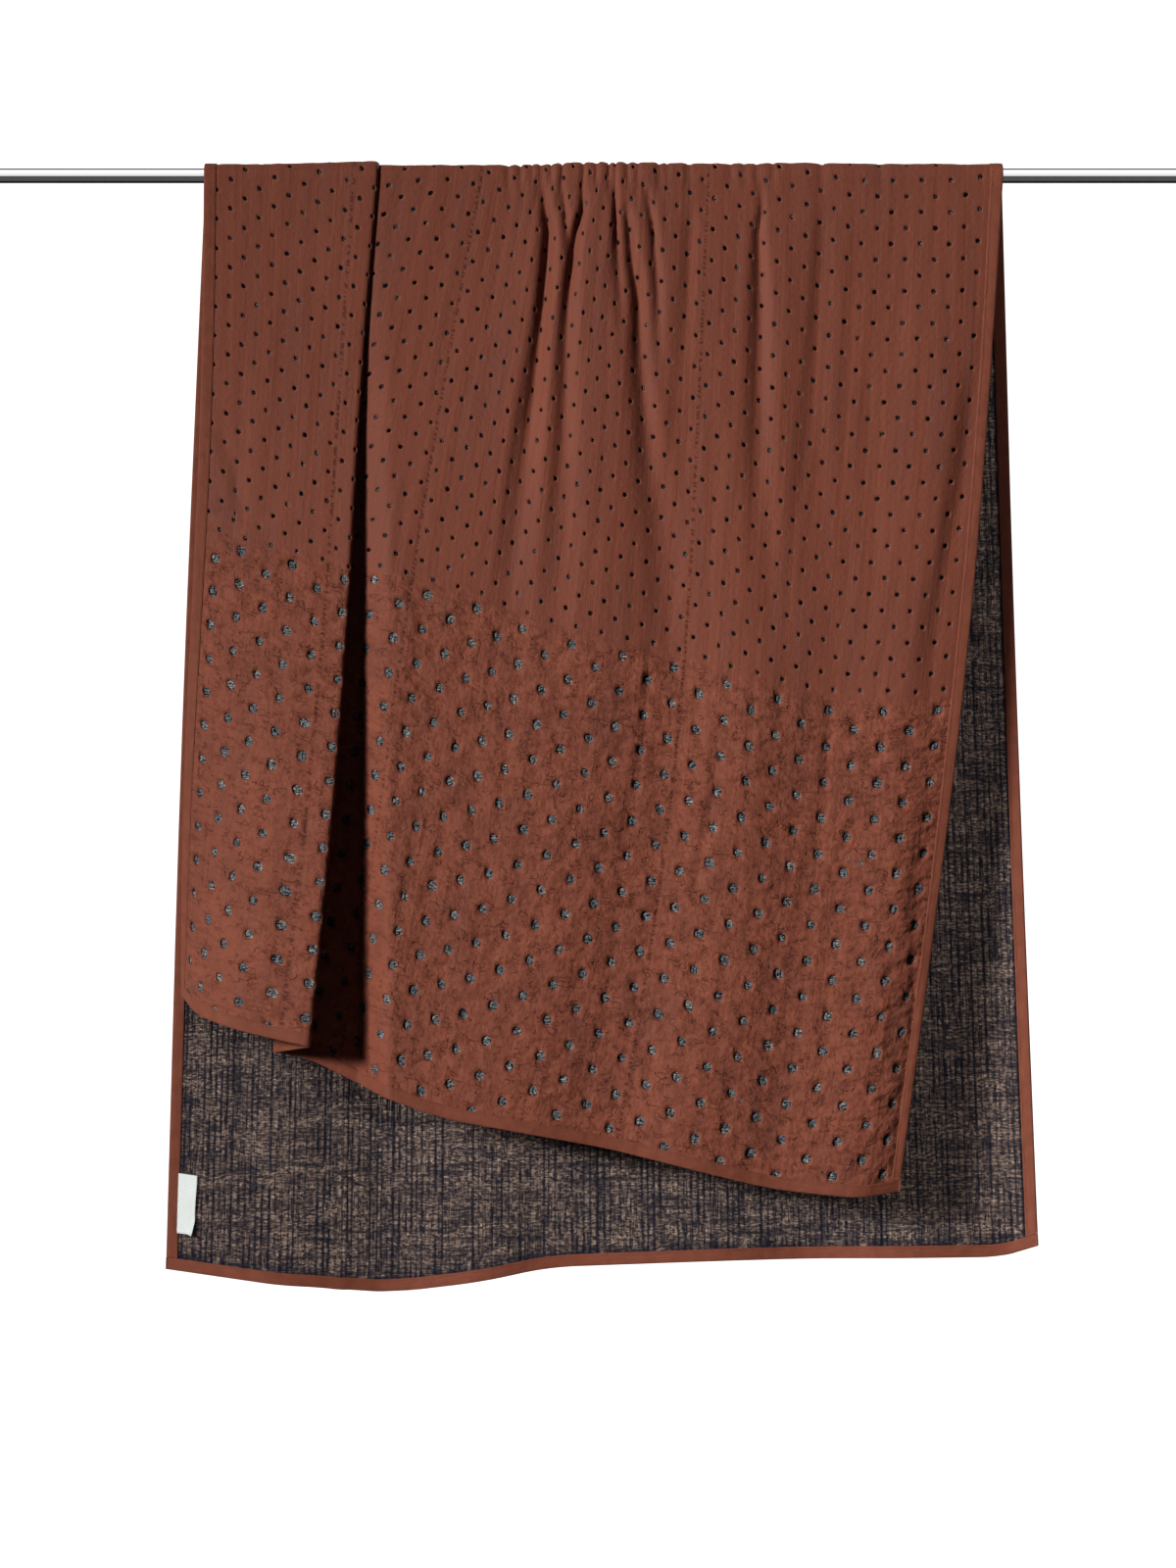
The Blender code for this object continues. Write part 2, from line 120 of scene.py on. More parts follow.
# Valleys that the gathers send down the front drop, followed from the rod downwards.
Path = namedtuple("Path", "below centre width depth")
FRONT_VALLEYS = [Path(*row) for row in (
    ((0, 14, 62, 144, 247, 319, 450, 640), (-51, -49, -43, -49, -60, -70, -83, -100),
     (3.5, 4, 6, 8, 11, 14, 22, 34), (2.5, 6.5, 12.5, 12.5, 10.5, 7.5, 4, 0)),
    ((0, 20, 41, 97), (-28, -27, -25, -21), (2.2, 2.4, 3, 5), (3, 7, 7.5, 0)),
    ((0, 20, 41, 62, 124, 195, 319, 450, 640), (-5, -5, -6, -13, -20, -24, -27, -32, -44),
     (2.6, 3, 3.6, 5, 7, 9, 13, 20, 30), (3.2, 7.5, 10, 11, 10.5, 8.5, 5.5, 3, 0)),
    ((0, 20, 44, 110, 180), (30, 30, 30, 33, 38), (2.4, 2.6, 3.2, 6, 9), (3.2, 8.5, 9.5, 5, 0)),
    ((20, 49, 97, 140, 236, 343, 471, 640), (41, 43, 48, 55, 59, 70, 86, 104),
     (4, 5, 7, 8, 11, 16, 24, 34), (0, 7, 10.5, 10.5, 8.5, 6, 3.5, 0)),
    ((0, 18, 65, 129, 215, 260), (54, 64, 72, 75, 77, 78), (2.4, 3, 4, 6, 9, 10),
     (2, 5.5, 7, 5.5, 2.5, 0)),
    ((0, 20, 41, 62, 144, 225, 319, 450, 560), (189, 189, 189, 186, 188, 186, 186, 196, 206),
     (2.4, 2.6, 3.2, 5, 9, 12, 15, 20, 26), (1.5, 5.5, 6.5, 7, 7.5, 7, 5, 3, 0)),
    ((200, 268, 360, 450, 560, 700), (418, 412, 400, 385, 368, 350), (9, 10, 12, 13, 16, 20),
     (0, 2.5, 3.5, 3.5, 2, 0)),
    ((10, 60, 160, 300, 460), (112, 112, 106, 98, 92), (5, 7, 11, 16, 22), (0, 2.2, 3, 2.5, 0)),
    ((5, 60, 160, 320, 500), (256, 256, 250, 240, 228), (5, 7, 11, 16, 24), (0, 2, 3, 2.5, 0)),
)]

# Valleys of the back drop, whose line drifts across the threads.
Valley = namedtuple("Valley", "centre width depth")
VALLEY_PLACES = (0.0, 0.1, 0.5, 1.0)
BACK_VALLEYS = [Valley(*row) for row in (
    ((424, 430, 410, 400), (10, 14, 26, 34), (2, 9, 5, 0)),
    ((491, 490, 480, 470), (10, 13, 26, 34), (2, 9, 6, 0)),
    ((552, 552, 552, 552), (8, 10, 20, 20), (2, 7, 3, 0)),
    ((590, 600, 620, 640), (9, 13, 26, 34), (2, 9, 6, 0)),
    ((746, 740, 720, 700), (8, 12, 26, 34), (2, 7, 4, 0)),
)]

# Short tucks where the cloth bunches on the rod: where each passes, its width, depth and reach.
Tuck = namedtuple("Tuck", "x width depth reach")
TUCKS = [Tuck(*row) for row in (
    (-87, 3.4, 2.2, 38),
    (-74, 2.2, 3.2, 22),
    (-61, 2.4, 1.8, 14),
    (-40, 2.2, 2.4, 16),
    (9, 2.4, 2.2, 18),
    (23, 2.0, 3.0, 36),
    (43, 2.4, 2.6, 22),
    (78, 2.6, 2.6, 26),
    (86, 2.4, 1.8, 14),
    (110, 3.0, 1.6, 26),
    (155, 2.6, 1.8, 30),
    (171, 2.6, 1.6, 24),
    (184, 2.8, 2.0, 40),
    (202, 2.6, 1.6, 20),
    (255, 3.2, 1.6, 30),
    (318, 4.0, 1.0, 26),
)]

# Creases pressed into the front drop, from one end to the other on the drop's face.
Crease = namedtuple("Crease", "x z x_end z_end width depth")
CREASES = [Crease(*row) for row in (
    (230, -739, 321, -752, 3.0, 1.3),
    (316, -766, 369, -777, 3.0, 1.2),
    (289, -835, 358, -846, 2.6, 1.0),
    (134, -1004, 214, -1009, 3.0, 1.2),
    (-210, -975, -128, -1006, 3.4, 1.1),
    (-84, -937, -83, -959, 2.4, 1.1),
    (328, -860, 318, -1010, 4.0, 1.1),
    (352, -830, 338, -1060, 3.6, 1.3),
    (-402, -366, -350, -380, 6.0, 1.6),
    (-398, -285, -372, -372, 7.0, 1.2),
    (-392, -430, -360, -470, 7.0, 1.0),
    (-410, -500, -372, -506, 6.0, 1.2),
    (-404, -560, -380, -640, 7.0, 1.1),
    (140, -580, 122, -790, 5.0, 1.0),
    (64, -520, 40, -760, 5.0, 0.9),
    (262, -600, 230, -820, 6.0, 1.0),
)]


# ---- the lattice of punched holes -----------------------------------------------------------
# The grid that carries the holes: steps across and along between neighbouring holes.
GRID_FROM = 1.375
GRID_STEP = 3.875
GRID_COLUMNS = 261
ROW_STEPS = 8
LARGE_ROWS = 14
SMALL_ROWS = 35
HEM_STEPS = 6
ZONE_GAP_STEPS = 4
LARGE_END = HEM_STEPS + ROW_STEPS * (LARGE_ROWS - 1)
SMALL_START = LARGE_END + ZONE_GAP_STEPS
SMALL_END = SMALL_START + ROW_STEPS * SMALL_ROWS
GRID_ROWS = SMALL_END + SMALL_START
SEAM_COLUMNS = (89, 177)
# Columns of large and of small holes, the grid place of the first one, and the room left at hems.
LARGE_COLUMNS, LARGE_FIRST = 32, 7
SMALL_COLUMNS, SMALL_FIRST = 64, 4
HEM_CLEAR = 9.0
# How far inside the hole's radius its rim and its lip lie, and how deep under the face.
HOLE_RINGS = ((0.0, 0.12), (0.28, 0.9))

# Sizes of the lattice along the hem: lowest hole of the higher columns, row pitches, zone gap.
Lattice = namedtuple("Lattice", "u lowest large_pitch small_pitch gap")
LATTICE = [Lattice(*row) for row in (
    (0, 28, 36.5, 31.8, 14),
    (200, 28, 36.5, 31.8, 14),
    (300, 36, 37.2, 32.4, 16),
    (428, 43, 37.6, 33.0, 18),
    (490, 35, 37.8, 33.3, 19),
    (552, 28, 38.0, 33.6, 20),
    (614, 23, 38.2, 33.9, 21),
    (676, 19, 38.4, 34.1, 22),
    (738, 13, 38.5, 34.3, 22),
    (800, 11, 38.6, 34.5, 23),
    (862, 12, 38.7, 34.7, 23),
    (924, 18, 38.7, 34.8, 23),
    (1011, 20, 38.7, 34.9, 23),
)]

# ---- ripples, seams and small parts (mm) ----------------------------------------------------
# Random swells of the cloths: how high, how large across and along, and their seed.
NOISE_TILE = 256
Swell = namedtuple("Swell", "height size_u size_v seed")
DRIFT = Swell(10, 90, 260, 3)
RIPPLES = (Swell(0.55, 17, 230, 5), Swell(0.36, 9, 110, 7))
QUILT_PUCKERS = (Swell(0.75, 11.5, 10, 11), Swell(0.40, 21, 34, 13))
SWELLS = Swell(0.30, 34, 28, 17)
# How softly a quilted band ends.
QUILT_FADE = 30.0

# The stitched tuck at the fold, where its line of painted shade is drawn, the seams that join
# the panels, and how deep, how wide and at what pitch all of them pull the cloth in.
TUCK_SEAM_U = 160.0
TUCK_LINE_U = 160.25
PANEL_SEAMS = tuple(GRID_FROM + GRID_STEP * i for i in SEAM_COLUMNS)
SEAM_SINK, SEAM_REACH, SEAM_PITCH, SEAM_SEED = 0.35, 5.0, 7.5, 19

# The crinkle's ribs, the patches of painted shade on the side under the face, seen through
# the small holes, and the plain rims of the face's relief and of the backing's crinkle.
RIB_WIDTHS = (4.8, 8.8)
RIB_HEIGHT = 1.5
RIB_CHANGE = Swell(0.22, 40, 60, 43)
RIB_WAVE = Swell(0.14, 16, 24, 47)
RIB_BAND = Swell(0.14, 1, 17, 53)
HOLE_SHADE_PATCHES = Swell(0.6, 19, 23, 59)
FLAT_RIM, RIM_FADE = 8.0, 22.0
SEWN_RIM = 4.0

# The folded binding: its strip's thickness, how far its rim sinks into the cloth, how far the
# hems' strips pass the sides, the gap from them to the sides' strips, the points along each, and
# the height and sizes of their puckers.
STRIP = 0.55
RIM_SINK = 0.45
HEM_OVERRUN = 1.4
SIDE_GAP = 0.3
HEM_POINTS, SIDE_POINTS = 420, 760
STRIP_PUCKERS = ((0.22, 9, 7), (0.16, 4, 30))

# A stitch: how far out from the binding's rim it lies, how deep in the binding, half its width,
# and the height and relative size of its foot and its crown.
STITCH_INSET = 2.2
STITCH_SINK = 0.25
STITCH_HALF = 0.32
STITCH_ENDS = ((-0.3, 1.0), (0.28, 0.62))

# The label: its left side, its lower end over the back hem, its sizes, how far it stands off
# behind the cloth's middle, and half its thickness.
LABEL_LEFT, LABEL_WIDTH = 10.5, 21.5
LABEL_FOOT, LABEL_LENGTH = 40.0, 66.0
LABEL_LIFT = 2.9
LABEL_HALF = 0.2

WHITE = (1.0, 1.0, 1.0, 1.0)
NAVY = (0.007, 0.010, 0.021, 1.0)
ROSY_SHEEN = (1.0, 0.62, 0.5, 1.0)


# ---- reading the tables ---------------------------------------------------------------------
def column(rows, key):
    return np.array([getattr(row, key) for row in rows], float)


def lattice(key, u):
    """One measure of the lattice of holes at the threads u."""
    return np.interp(u, column(LATTICE, "u"), column(LATTICE, key))


def to_hem(distance, length):
    """Distance to the nearer hem, along threads of these lengths."""
    return np.minimum(distance, length[:, None] - distance)


def ease(value):
    value = np.clip(value, 0.0, 1.0)
    return value * value * (3 - 2 * value)


def unit(vectors):
    """The vectors at length 1."""
    return vectors / np.maximum(np.linalg.norm(vectors, axis=-1, keepdims=True), 1e-9)


def smooth_along(places, values, s, reach):
    """Values at s between the given places, with the corners rounded over `reach`."""
    reach = np.clip(np.minimum(reach, np.minimum(s, 1 - s)), 0, None)
    steps = (-1, -0.5, 0, 0.5, 1)
    return sum(np.interp(s + reach * step, places, values) for step in steps) / len(steps)


def read_rows(rows, x_rows, x_places, x_reach, off_places, off_reach, u, s):
    """Place, offset and drop of the threads u at every s, each row's bend spread to its sides."""
    tables = (
        np.array([smooth_along(x_places, values, s, x_reach) for values in x_rows]),
        np.array([smooth_along(off_places, row.off, s, off_reach) for row in rows]),
        column(rows, "drop")[:, None] + 0 * s,
    )
    places = np.array([
        smooth_along(X_PLACES, row.u, s, U_SPREAD) if np.ndim(row.u) else s * 0 + row.u
        for row in rows
    ])
    soft = column(rows, "soft")
    steps = np.linspace(-1, 1, 9)
    found = [np.empty((len(u), len(s))) for _ in tables]
    for k in range(len(s)):
        reach = np.interp(u, places[:, k], soft)
        reach = np.clip(np.minimum(reach, np.minimum(u, WIDTH - u)), 0, None)
        at = u[:, None] + reach[:, None] * steps
        for table, values in zip(tables, found):
            values[:, k] = np.interp(at, places[:, k], table[:, k]).mean(axis=1)
    x, off, drop = found
    return x, off, drop[:, -1]


def valley_depth(valleys, place, read):
    """Depth of all the valleys at the places; read finds a valley's values along its line."""
    total = np.zeros(place.shape)
    for valley in valleys:
        centre, width, depth = (read(valley, values) for values in valley[-3:])
        total += depth * np.exp(-(((place - centre) / width) ** 2))
    return total


def soft_noise(swell, u, v, share=1.0):
    """Smooth random swells at these places, up and down by about the share of their height."""
    turn = np.random.default_rng(swell.seed).uniform(0, 2 * math.pi, (NOISE_TILE, NOISE_TILE))
    x, y = np.broadcast_arrays(u / swell.size_u, v / swell.size_v)
    column_x, row_y = np.floor(x).astype(int), np.floor(y).astype(int)
    part_x, part_y = x - column_x, y - row_y

    def corner(step_x, step_y):
        angle = turn[(column_x + step_x) % NOISE_TILE, (row_y + step_y) % NOISE_TILE]
        return np.cos(angle) * (part_x - step_x) + np.sin(angle) * (part_y - step_y)

    fade_x, fade_y = ease(part_x), ease(part_y)
    low = corner(0, 0) * (1 - fade_x) + corner(1, 0) * fade_x
    high = corner(0, 1) * (1 - fade_x) + corner(1, 1) * fade_x
    return share * swell.height * (1.5 * (low * (1 - fade_y) + high * fade_y))


class Drape:
    """Where the threads at the places u lie, as smooth tables down both drops."""

    SAMPLES = 241
    ROD_SHARE = 0.05

    def __init__(self, u):
        self.u = u = np.asarray(u, float)
        s = np.linspace(0, 1, self.SAMPLES)
        near_rod = np.clip(s / self.ROD_SHARE, 0, 1)

        x, off, self.front_drop = read_rows(
            FRONT, [row.x for row in FRONT], X_PLACES, X_SPREAD, OFF_PLACES, OFF_SPREAD, u, s
        )
        valley_back = smooth_along(X_PLACES, VALLEY_BACK, s, U_SPREAD)
        start = np.clip((u[:, None] - valley_back) / STEP_FADE_U, 0, 1)
        share = ease((x - STEP_FOOT_X) / (STEP_CREST_X - STEP_FOOT_X))
        off += smooth_along(OFF_PLACES, STEP_RISE, s, OFF_SPREAD) * start * share
        below = s * self.front_drop[:, None]
        off -= valley_depth(
            FRONT_VALLEYS, x, lambda valley, values: np.interp(below, valley.below, values)
        )
        rod_off = np.clip(off[:, 0], 0, None)
        self.front = (x, rod_off[:, None] * (1 - near_rod) + off * near_rod)
        self.rod_x, self.rod_off = x[:, 0], rod_off

        x_rows = [(0, *row.x) for row in BACK]
        x, off, self.back_drop = read_rows(
            BACK, x_rows, BACK_X_PLACES, BACK_X_SPREAD, BACK_OFF_PLACES, BACK_OFF_SPREAD, u, s
        )
        x += self.rod_x[:, None] * smooth_along(BACK_X_PLACES, (1, 0, 0), s, BACK_X_SPREAD)
        off -= valley_depth(
            BACK_VALLEYS,
            u[:, None] + 0 * s,
            lambda valley, values: smooth_along(VALLEY_PLACES, values, s, OFF_SPREAD),
        )
        self.back = (x, rod_off[:, None] * (1 - near_rod) + off * near_rod)
        self.length = self.front_drop + ARC + self.back_drop

    def read(self, table, s):
        place = np.clip(s, 0, 1) * (self.SAMPLES - 1)
        index = np.clip(np.floor(place).astype(int), 0, self.SAMPLES - 2)
        low = np.take_along_axis(table, index, axis=1)
        high = np.take_along_axis(table, index + 1, axis=1)
        return low + (high - low) * (place - index)

    def smooth_points(self, distance):
        """Points at distances along the threads from the front hem, before the small creases."""
        front_drop, back_drop = self.front_drop[:, None], self.back_drop[:, None]
        s_front = 1 - distance / front_drop
        s_back = (distance - front_drop - ARC) / back_drop
        back = s_back >= 0
        x, off = (
            np.where(back, self.read(behind, s_back), self.read(ahead, s_front))
            for ahead, behind in zip(self.front, self.back)
        )
        y = np.where(back, 1, -1) * (ROD_STANDOFF + off)
        z = -np.where(back, s_back * back_drop, s_front * front_drop)
        angle = np.clip((distance - front_drop) / ARC, 0, 1) * math.pi
        reach = ROD_STANDOFF + self.rod_off[:, None]
        over_rod = (self.rod_x[:, None], -reach * np.cos(angle), reach * np.sin(angle))
        over = (s_front < 0) & ~back
        return np.stack([np.where(over, *pair) for pair in zip(over_rod, (x, y, z))], axis=-1)

    def points(self, distance):
        """Points of the cloth's middle surface, with the creases and rod tucks pressed in."""
        points = self.smooth_points(distance)
        depth = crease_depth(points, self.where(distance))
        along = self.smooth_points(distance + 0.5) - points
        normal = unit(np.stack([0 * depth, -along[..., 2], along[..., 1]], axis=-1))
        return points - normal * depth[..., None]

    def where(self, distance):
        """Signed height below the rod: negative on the front drop, positive on the back one."""
        past_front = distance - self.front_drop[:, None]
        return np.minimum(past_front, 0) + np.maximum(past_front - ARC, 0)


def outward(points):
    """Unit normals of a grid of points, away from the rod."""
    return unit(np.cross(np.gradient(points, axis=0), np.gradient(points, axis=1)))


# ---- fine relief of the cloth (mm) ----------------------------------------------------------
def large_zone(u, distance, length):
    """1 in the quilted bands of large holes near both hems, easing to 0 between them."""
    top = lattice("lowest", u) + lattice("large_pitch", u) * (LARGE_ROWS - 0.7)
    return 1 - ease((to_hem(distance, length) - top[:, None]) / QUILT_FADE + 0.5)


def crease_depth(points, side):
    """Creases and rod tucks as soft troughs; side is the signed height below the rod."""
    x, z = points[..., 0], points[..., 2]
    depth = np.zeros(x.shape)
    for crease in CREASES:
        run_x, run_z = crease.x_end - crease.x, crease.z_end - crease.z
        run = math.hypot(run_x, run_z)
        along = ((x - crease.x) * run_x + (z - crease.z) * run_z) / run
        beside = ((x - crease.x) * run_z - (z - crease.z) * run_x) / run
        beside = beside + 0.02 * run * np.sin(along / run * 5.0)
        ends = ease(along / run * 3 + 0.5) * ease((run - along) / run * 3 + 0.5)
        trough = np.exp(-((beside / crease.width) ** 2))
        ridge = np.exp(-(((beside - 2 * crease.width) / crease.width) ** 2))
        depth += np.where(side < 0, crease.depth * ends * (trough - 0.45 * ridge), 0)
    for tuck in TUCKS:
        beside = (x - tuck.x - 0.05 * np.abs(side)) / (tuck.width * (1 + np.abs(side) / 60))
        reach = np.clip(1 - np.abs(side) / tuck.reach, 0, 1)
        depth += tuck.depth * reach * np.exp(-(beside**2))
    return depth


def face_relief(drape, distance):
    """Height of the face cloth's ripples and puckers over its middle surface."""
    u = drape.u[:, None]
    quilted = large_zone(drape.u, distance, drape.length)
    drift = soft_noise(DRIFT, u, distance)
    relief = sum(soft_noise(swell, u + drift, distance) for swell in RIPPLES)
    for swell in QUILT_PUCKERS:
        relief += soft_noise(swell, u, distance, quilted)
    relief += soft_noise(SWELLS, u, distance)
    for seam in (TUCK_SEAM_U, *PANEL_SEAMS):
        swell = Swell(SEAM_SINK, 1, SEAM_PITCH, SEAM_SEED + int(seam))
        pucker = soft_noise(swell, 0 * u, distance)
        relief += (pucker - SEAM_SINK) * np.exp(-(((u - seam) / SEAM_REACH) ** 2))
    edge, hem = np.minimum(u, WIDTH - u), to_hem(distance, drape.length)
    return relief * ease((edge - FLAT_RIM) / RIM_FADE) * ease((hem - FLAT_RIM) / RIM_FADE)


# ---- building meshes ------------------------------------------------------------------------
def clear_selection():
    for item in bpy.context.selected_objects:
        item.select_set(False)
    bpy.context.view_layer.objects.active = None


def build_object(name, points, faces, flat, bake, material, marks=None):
    """A smooth mesh object from points in millimetres, with the cloth's flat coordinates.

    faces is a list of index arrays, one face a row. flat is the (across, along) place of each
    point in metres, bake its place on the unit square, and marks holds named point values.
    """
    mesh = bpy.data.meshes.new(name)
    loops = np.concatenate([face.reshape(-1) for face in faces]).astype(np.int32)
    sizes = np.concatenate([np.full(len(face), face.shape[1]) for face in faces])
    starts = np.concatenate([[0], np.cumsum(sizes)[:-1]]).astype(np.int32)
    mesh.vertices.add(len(points))
    mesh.vertices.foreach_set("co", (points * MM).astype(np.float32).reshape(-1))
    mesh.loops.add(len(loops))
    mesh.loops.foreach_set("vertex_index", loops)
    mesh.polygons.add(len(sizes))
    mesh.polygons.foreach_set("loop_start", starts)
    mesh.update(calc_edges=True)
    for layer_name, values in (("cloth", flat), ("OFBake", bake)):
        layer = mesh.uv_layers.new(name=layer_name)
        layer.data.foreach_set("uv", values[loops].astype(np.float32).reshape(-1))
    for mark_name, values in (marks or {}).items():
        attribute = mesh.attributes.new(mark_name, "FLOAT", "POINT")
        attribute.data.foreach_set("value", values.astype(np.float32).reshape(-1))
    mesh.polygons.foreach_set("use_smooth", np.ones(len(sizes), bool))
    mesh.materials.append(material)
    mesh.validate()
    item = bpy.data.objects.new(name, mesh)
    bpy.context.scene.collection.objects.link(item)
    return item


def merge_corners(corners):
    """Faces from one array of point ids for each of their corners."""
    return np.stack([corner.reshape(-1) for corner in corners], axis=1)


def pairs(first, second):
    """Flat places from one array of places across and one along, spread over each other."""
    return np.stack(np.broadcast_arrays(first, second), -1).reshape(-1, 2)


def grid_quads(ids):
    """Quads between the rows and columns of an id grid, facing outward."""
    return merge_corners((ids[:-1, :-1], ids[1:, :-1], ids[1:, 1:], ids[:-1, 1:]))


def shell_from_grids(outer, inner, u, distance):
    """Points and faces of a closed thin sheet between two point grids, and their flat places."""
    columns, rows = outer.shape[:2]
    under = columns * rows
    ids = np.arange(under).reshape(columns, rows)
    loop = np.concatenate([ids[:, 0], ids[-1, 1:], ids[-2::-1, -1], ids[0, -2:0:-1]])
    after = np.roll(loop, -1)
    rim = merge_corners((after, loop, loop + under, after + under))
    faces = [grid_quads(ids), grid_quads(ids + under)[:, ::-1], rim]
    points = np.concatenate([outer.reshape(-1, 3), inner.reshape(-1, 3)])
    place = pairs(u, distance)
    flat = np.concatenate([place, place]) * MM
    low, high = place.min(0), place.max(0)
    unit_place = (place - low) / (high - low)
    half = np.array([0.49, 0.98])
    bake = np.concatenate([unit_place * half + [0.005, 0.01], unit_place * half + [0.505, 0.01]])
    return points, faces, flat, bake


# ---- the face cloth -------------------------------------------------------------------------
def row_distances(drape):
    """Distance of every grid row from the front hem, for each thread."""
    lowest, large, small, gap = (
        lattice(key, drape.u) for key in ("lowest", "large_pitch", "small_pitch", "gap")
    )
    steps = np.arange(GRID_ROWS + 1)
    near_steps = np.array([0, 2, HEM_STEPS, LARGE_END, SMALL_START])
    rows = []
    for i, (front_drop, length) in enumerate(zip(drape.front_drop, drape.length)):
        first = max(lowest[i] - large[i] / 2, 0.35 * lowest[i])
        top = lowest[i] + large[i] * (LARGE_ROWS - 1)
        start = top + gap[i]
        rod_step = SMALL_START + ROW_STEPS * (front_drop - start) / small[i]
        near = np.array([0, first, lowest[i], top, start])
        knots = [*near_steps, rod_step, *(GRID_ROWS - near_steps[::-1])]
        rows.append(np.interp(steps, knots, [*near, front_drop, *(length - near[::-1])]))
    return np.array(rows)


def hole_places():
    """Grid places of the large holes and of the small ones, as (column, row) arrays."""
    large = []
    for k in range(LARGE_COLUMNS):
        first = HEM_STEPS if k % 2 else HEM_STEPS - ROW_STEPS // 2
        for row in range(LARGE_ROWS):
            step = first + ROW_STEPS * row
            large += [(LARGE_FIRST + 8 * k, step), (LARGE_FIRST + 8 * k, GRID_ROWS - step)]
    small = []
    for k in range(SMALL_COLUMNS):
        first = SMALL_START + (0 if k % 2 else ROW_STEPS // 2)
        for row in range(SMALL_ROWS + (k % 2)):
            small.append((SMALL_FIRST + 4 * k, first + ROW_STEPS * row))
    return np.array(large), np.array(small)


def ring_offsets(half):
    """Grid steps from a hole's centre to the nodes round its block, anticlockwise."""
    i = np.clip(np.abs(np.arange(8 * half) - 4 * half) - 2 * half, -half, half)
    return np.stack([i, np.roll(i, 2 * half)], axis=1)


def sample(grid, i, j):
    """Values of a grid at fractional places, straight between its nodes."""
    column_i = np.clip(np.floor(i).astype(int), 0, grid.shape[0] - 2)
    row_j = np.clip(np.floor(j).astype(int), 0, grid.shape[1] - 2)
    share_i, share_j = (i - column_i)[..., None], (j - row_j)[..., None]
    low = grid[column_i, row_j] * (1 - share_j) + grid[column_i, row_j + 1] * share_j
    high = grid[column_i + 1, row_j] * (1 - share_j) + grid[column_i + 1, row_j + 1] * share_j
    return low * (1 - share_i) + high * share_i


class FaceCloth:
    """The punched face cloth on its grid, from which its sewn panels are cut."""

    def __init__(self, settings):
        self.small_radius = settings.small_hole / 2 / MM
        self.large_radius = settings.large_hole / 2 / MM
        inner = GRID_FROM + GRID_STEP * np.arange(GRID_COLUMNS)
        self.u = np.concatenate([[0.0], inner, [WIDTH]])
        self.drape = Drape(self.u)
        self.distance = row_distances(self.drape)
        middle = self.drape.points(self.distance)
        height = settings.face_offset / MM + face_relief(self.drape, self.distance)
        points = middle + outward(middle) * height[..., None]
        self.normal = outward(points)
        across = np.broadcast_to(self.u[:, None], self.distance.shape)
        quilted = large_zone(self.u, self.distance, self.drape.length)
        # Each node holds its point, its flat place and how far it is quilted.
        self.nodes = np.dstack([points, across, self.distance, quilted])

    def holes(self, places, radius, half, seed):
        """Rim and lip rings for the holes at these places, in millimetres."""
        rng = np.random.default_rng(seed)
        count = len(places)
        columns, rows = places[:, 0], places[:, 1]
        step_i = (self.u[columns + 1] - self.u[columns - 1]) / 2
        above, below = np.minimum(rows + 1, GRID_ROWS), np.maximum(rows - 1, 0)
        step_j = self.distance[columns, above] - self.distance[columns, below]
        step_j = step_j / (above - below)
        sides = 8 * half
        angle = 2 * math.pi * np.arange(sides) / sides
        size = radius * rng.uniform(0.9, 1.08, (count, 1))
        squeeze = rng.uniform(-0.09, 0.09, (count, 1))
        lean = rng.uniform(0, math.pi, (count, 1))
        ragged = rng.uniform(-0.05, 0.05, (count, sides))
        rim = size * (1 + squeeze * np.cos(2 * (angle - lean)) + ragged)
        shift = rng.uniform(-0.5, 0.5, (count, 2))
        rings = []
        for inset, sunk in HOLE_RINGS:
            aside, ahead = (rim - inset) * np.cos(angle), (rim - inset) * np.sin(angle)
            i = columns[:, None] + (shift[:, :1] + aside) / step_i[:, None]
            j = rows[:, None] + (shift[:, 1:] + ahead) / step_j[:, None]
            ring = sample(self.nodes, i, j)
            ring[..., :3] -= sample(self.normal, i, j) * sunk
            rings.append(ring)
        return rings

    def panel(self, name, first, last, material):
        """One sewn panel, from grid column first to grid column last."""
        parts = [self.nodes[first : last + 1].reshape(-1, 6)]
        total = len(parts[0])
        rims = [np.zeros(total)]
        ids = np.arange(total).reshape(-1, GRID_ROWS + 1)
        open_cells = np.ones((last - first, GRID_ROWS), bool)
        faces = []
        large, small = hole_places()
        for places, radius, half, seed in (
            (large, self.large_radius, 2, 23),
            (small, self.small_radius, 1, 29),
        ):
            inside = (places[:, 0] - half >= first) & (places[:, 0] + half <= last)
            inside &= (places[:, 1] - half >= 0) & (places[:, 1] + half <= GRID_ROWS)
            hem = self.distance[places[:, 0], places[:, 1]]
            inside &= np.minimum(hem, self.drape.length[places[:, 0]] - hem) > HEM_CLEAR
            local = places[inside] - [first, 0]
            steps = ring_offsets(half)
            previous = ids[local[:, :1] + steps[:, 0], local[:, 1:] + steps[:, 1]]
            for i in range(-half, half):
                for j in range(-half, half):
                    open_cells[local[:, 0] + i, local[:, 1] + j] = False
            for step, nodes in enumerate(self.holes(places, radius, half, seed)):
                ring = total + np.arange(previous.size).reshape(previous.shape)
                total += ring.size
                parts.append(nodes[inside].reshape(-1, 6))
                rims.append(np.full(ring.size, step))
                corners = (previous, np.roll(previous, -1, 1), np.roll(ring, -1, 1), ring)
                faces.append(merge_corners(corners))
                previous = ring
        faces.insert(0, grid_quads(ids)[open_cells.reshape(-1)])
        points, flat, quilted = np.split(np.concatenate(parts), (3, 5), axis=1)
        low, high = flat.min(0), flat.max(0)
        bake = (flat - low) / (high - low) * 0.98 + 0.01
        marks = {"quilted": quilted, "rim": np.concatenate(rims)}
        return build_object(name, points, faces, flat * MM, bake, material, marks)


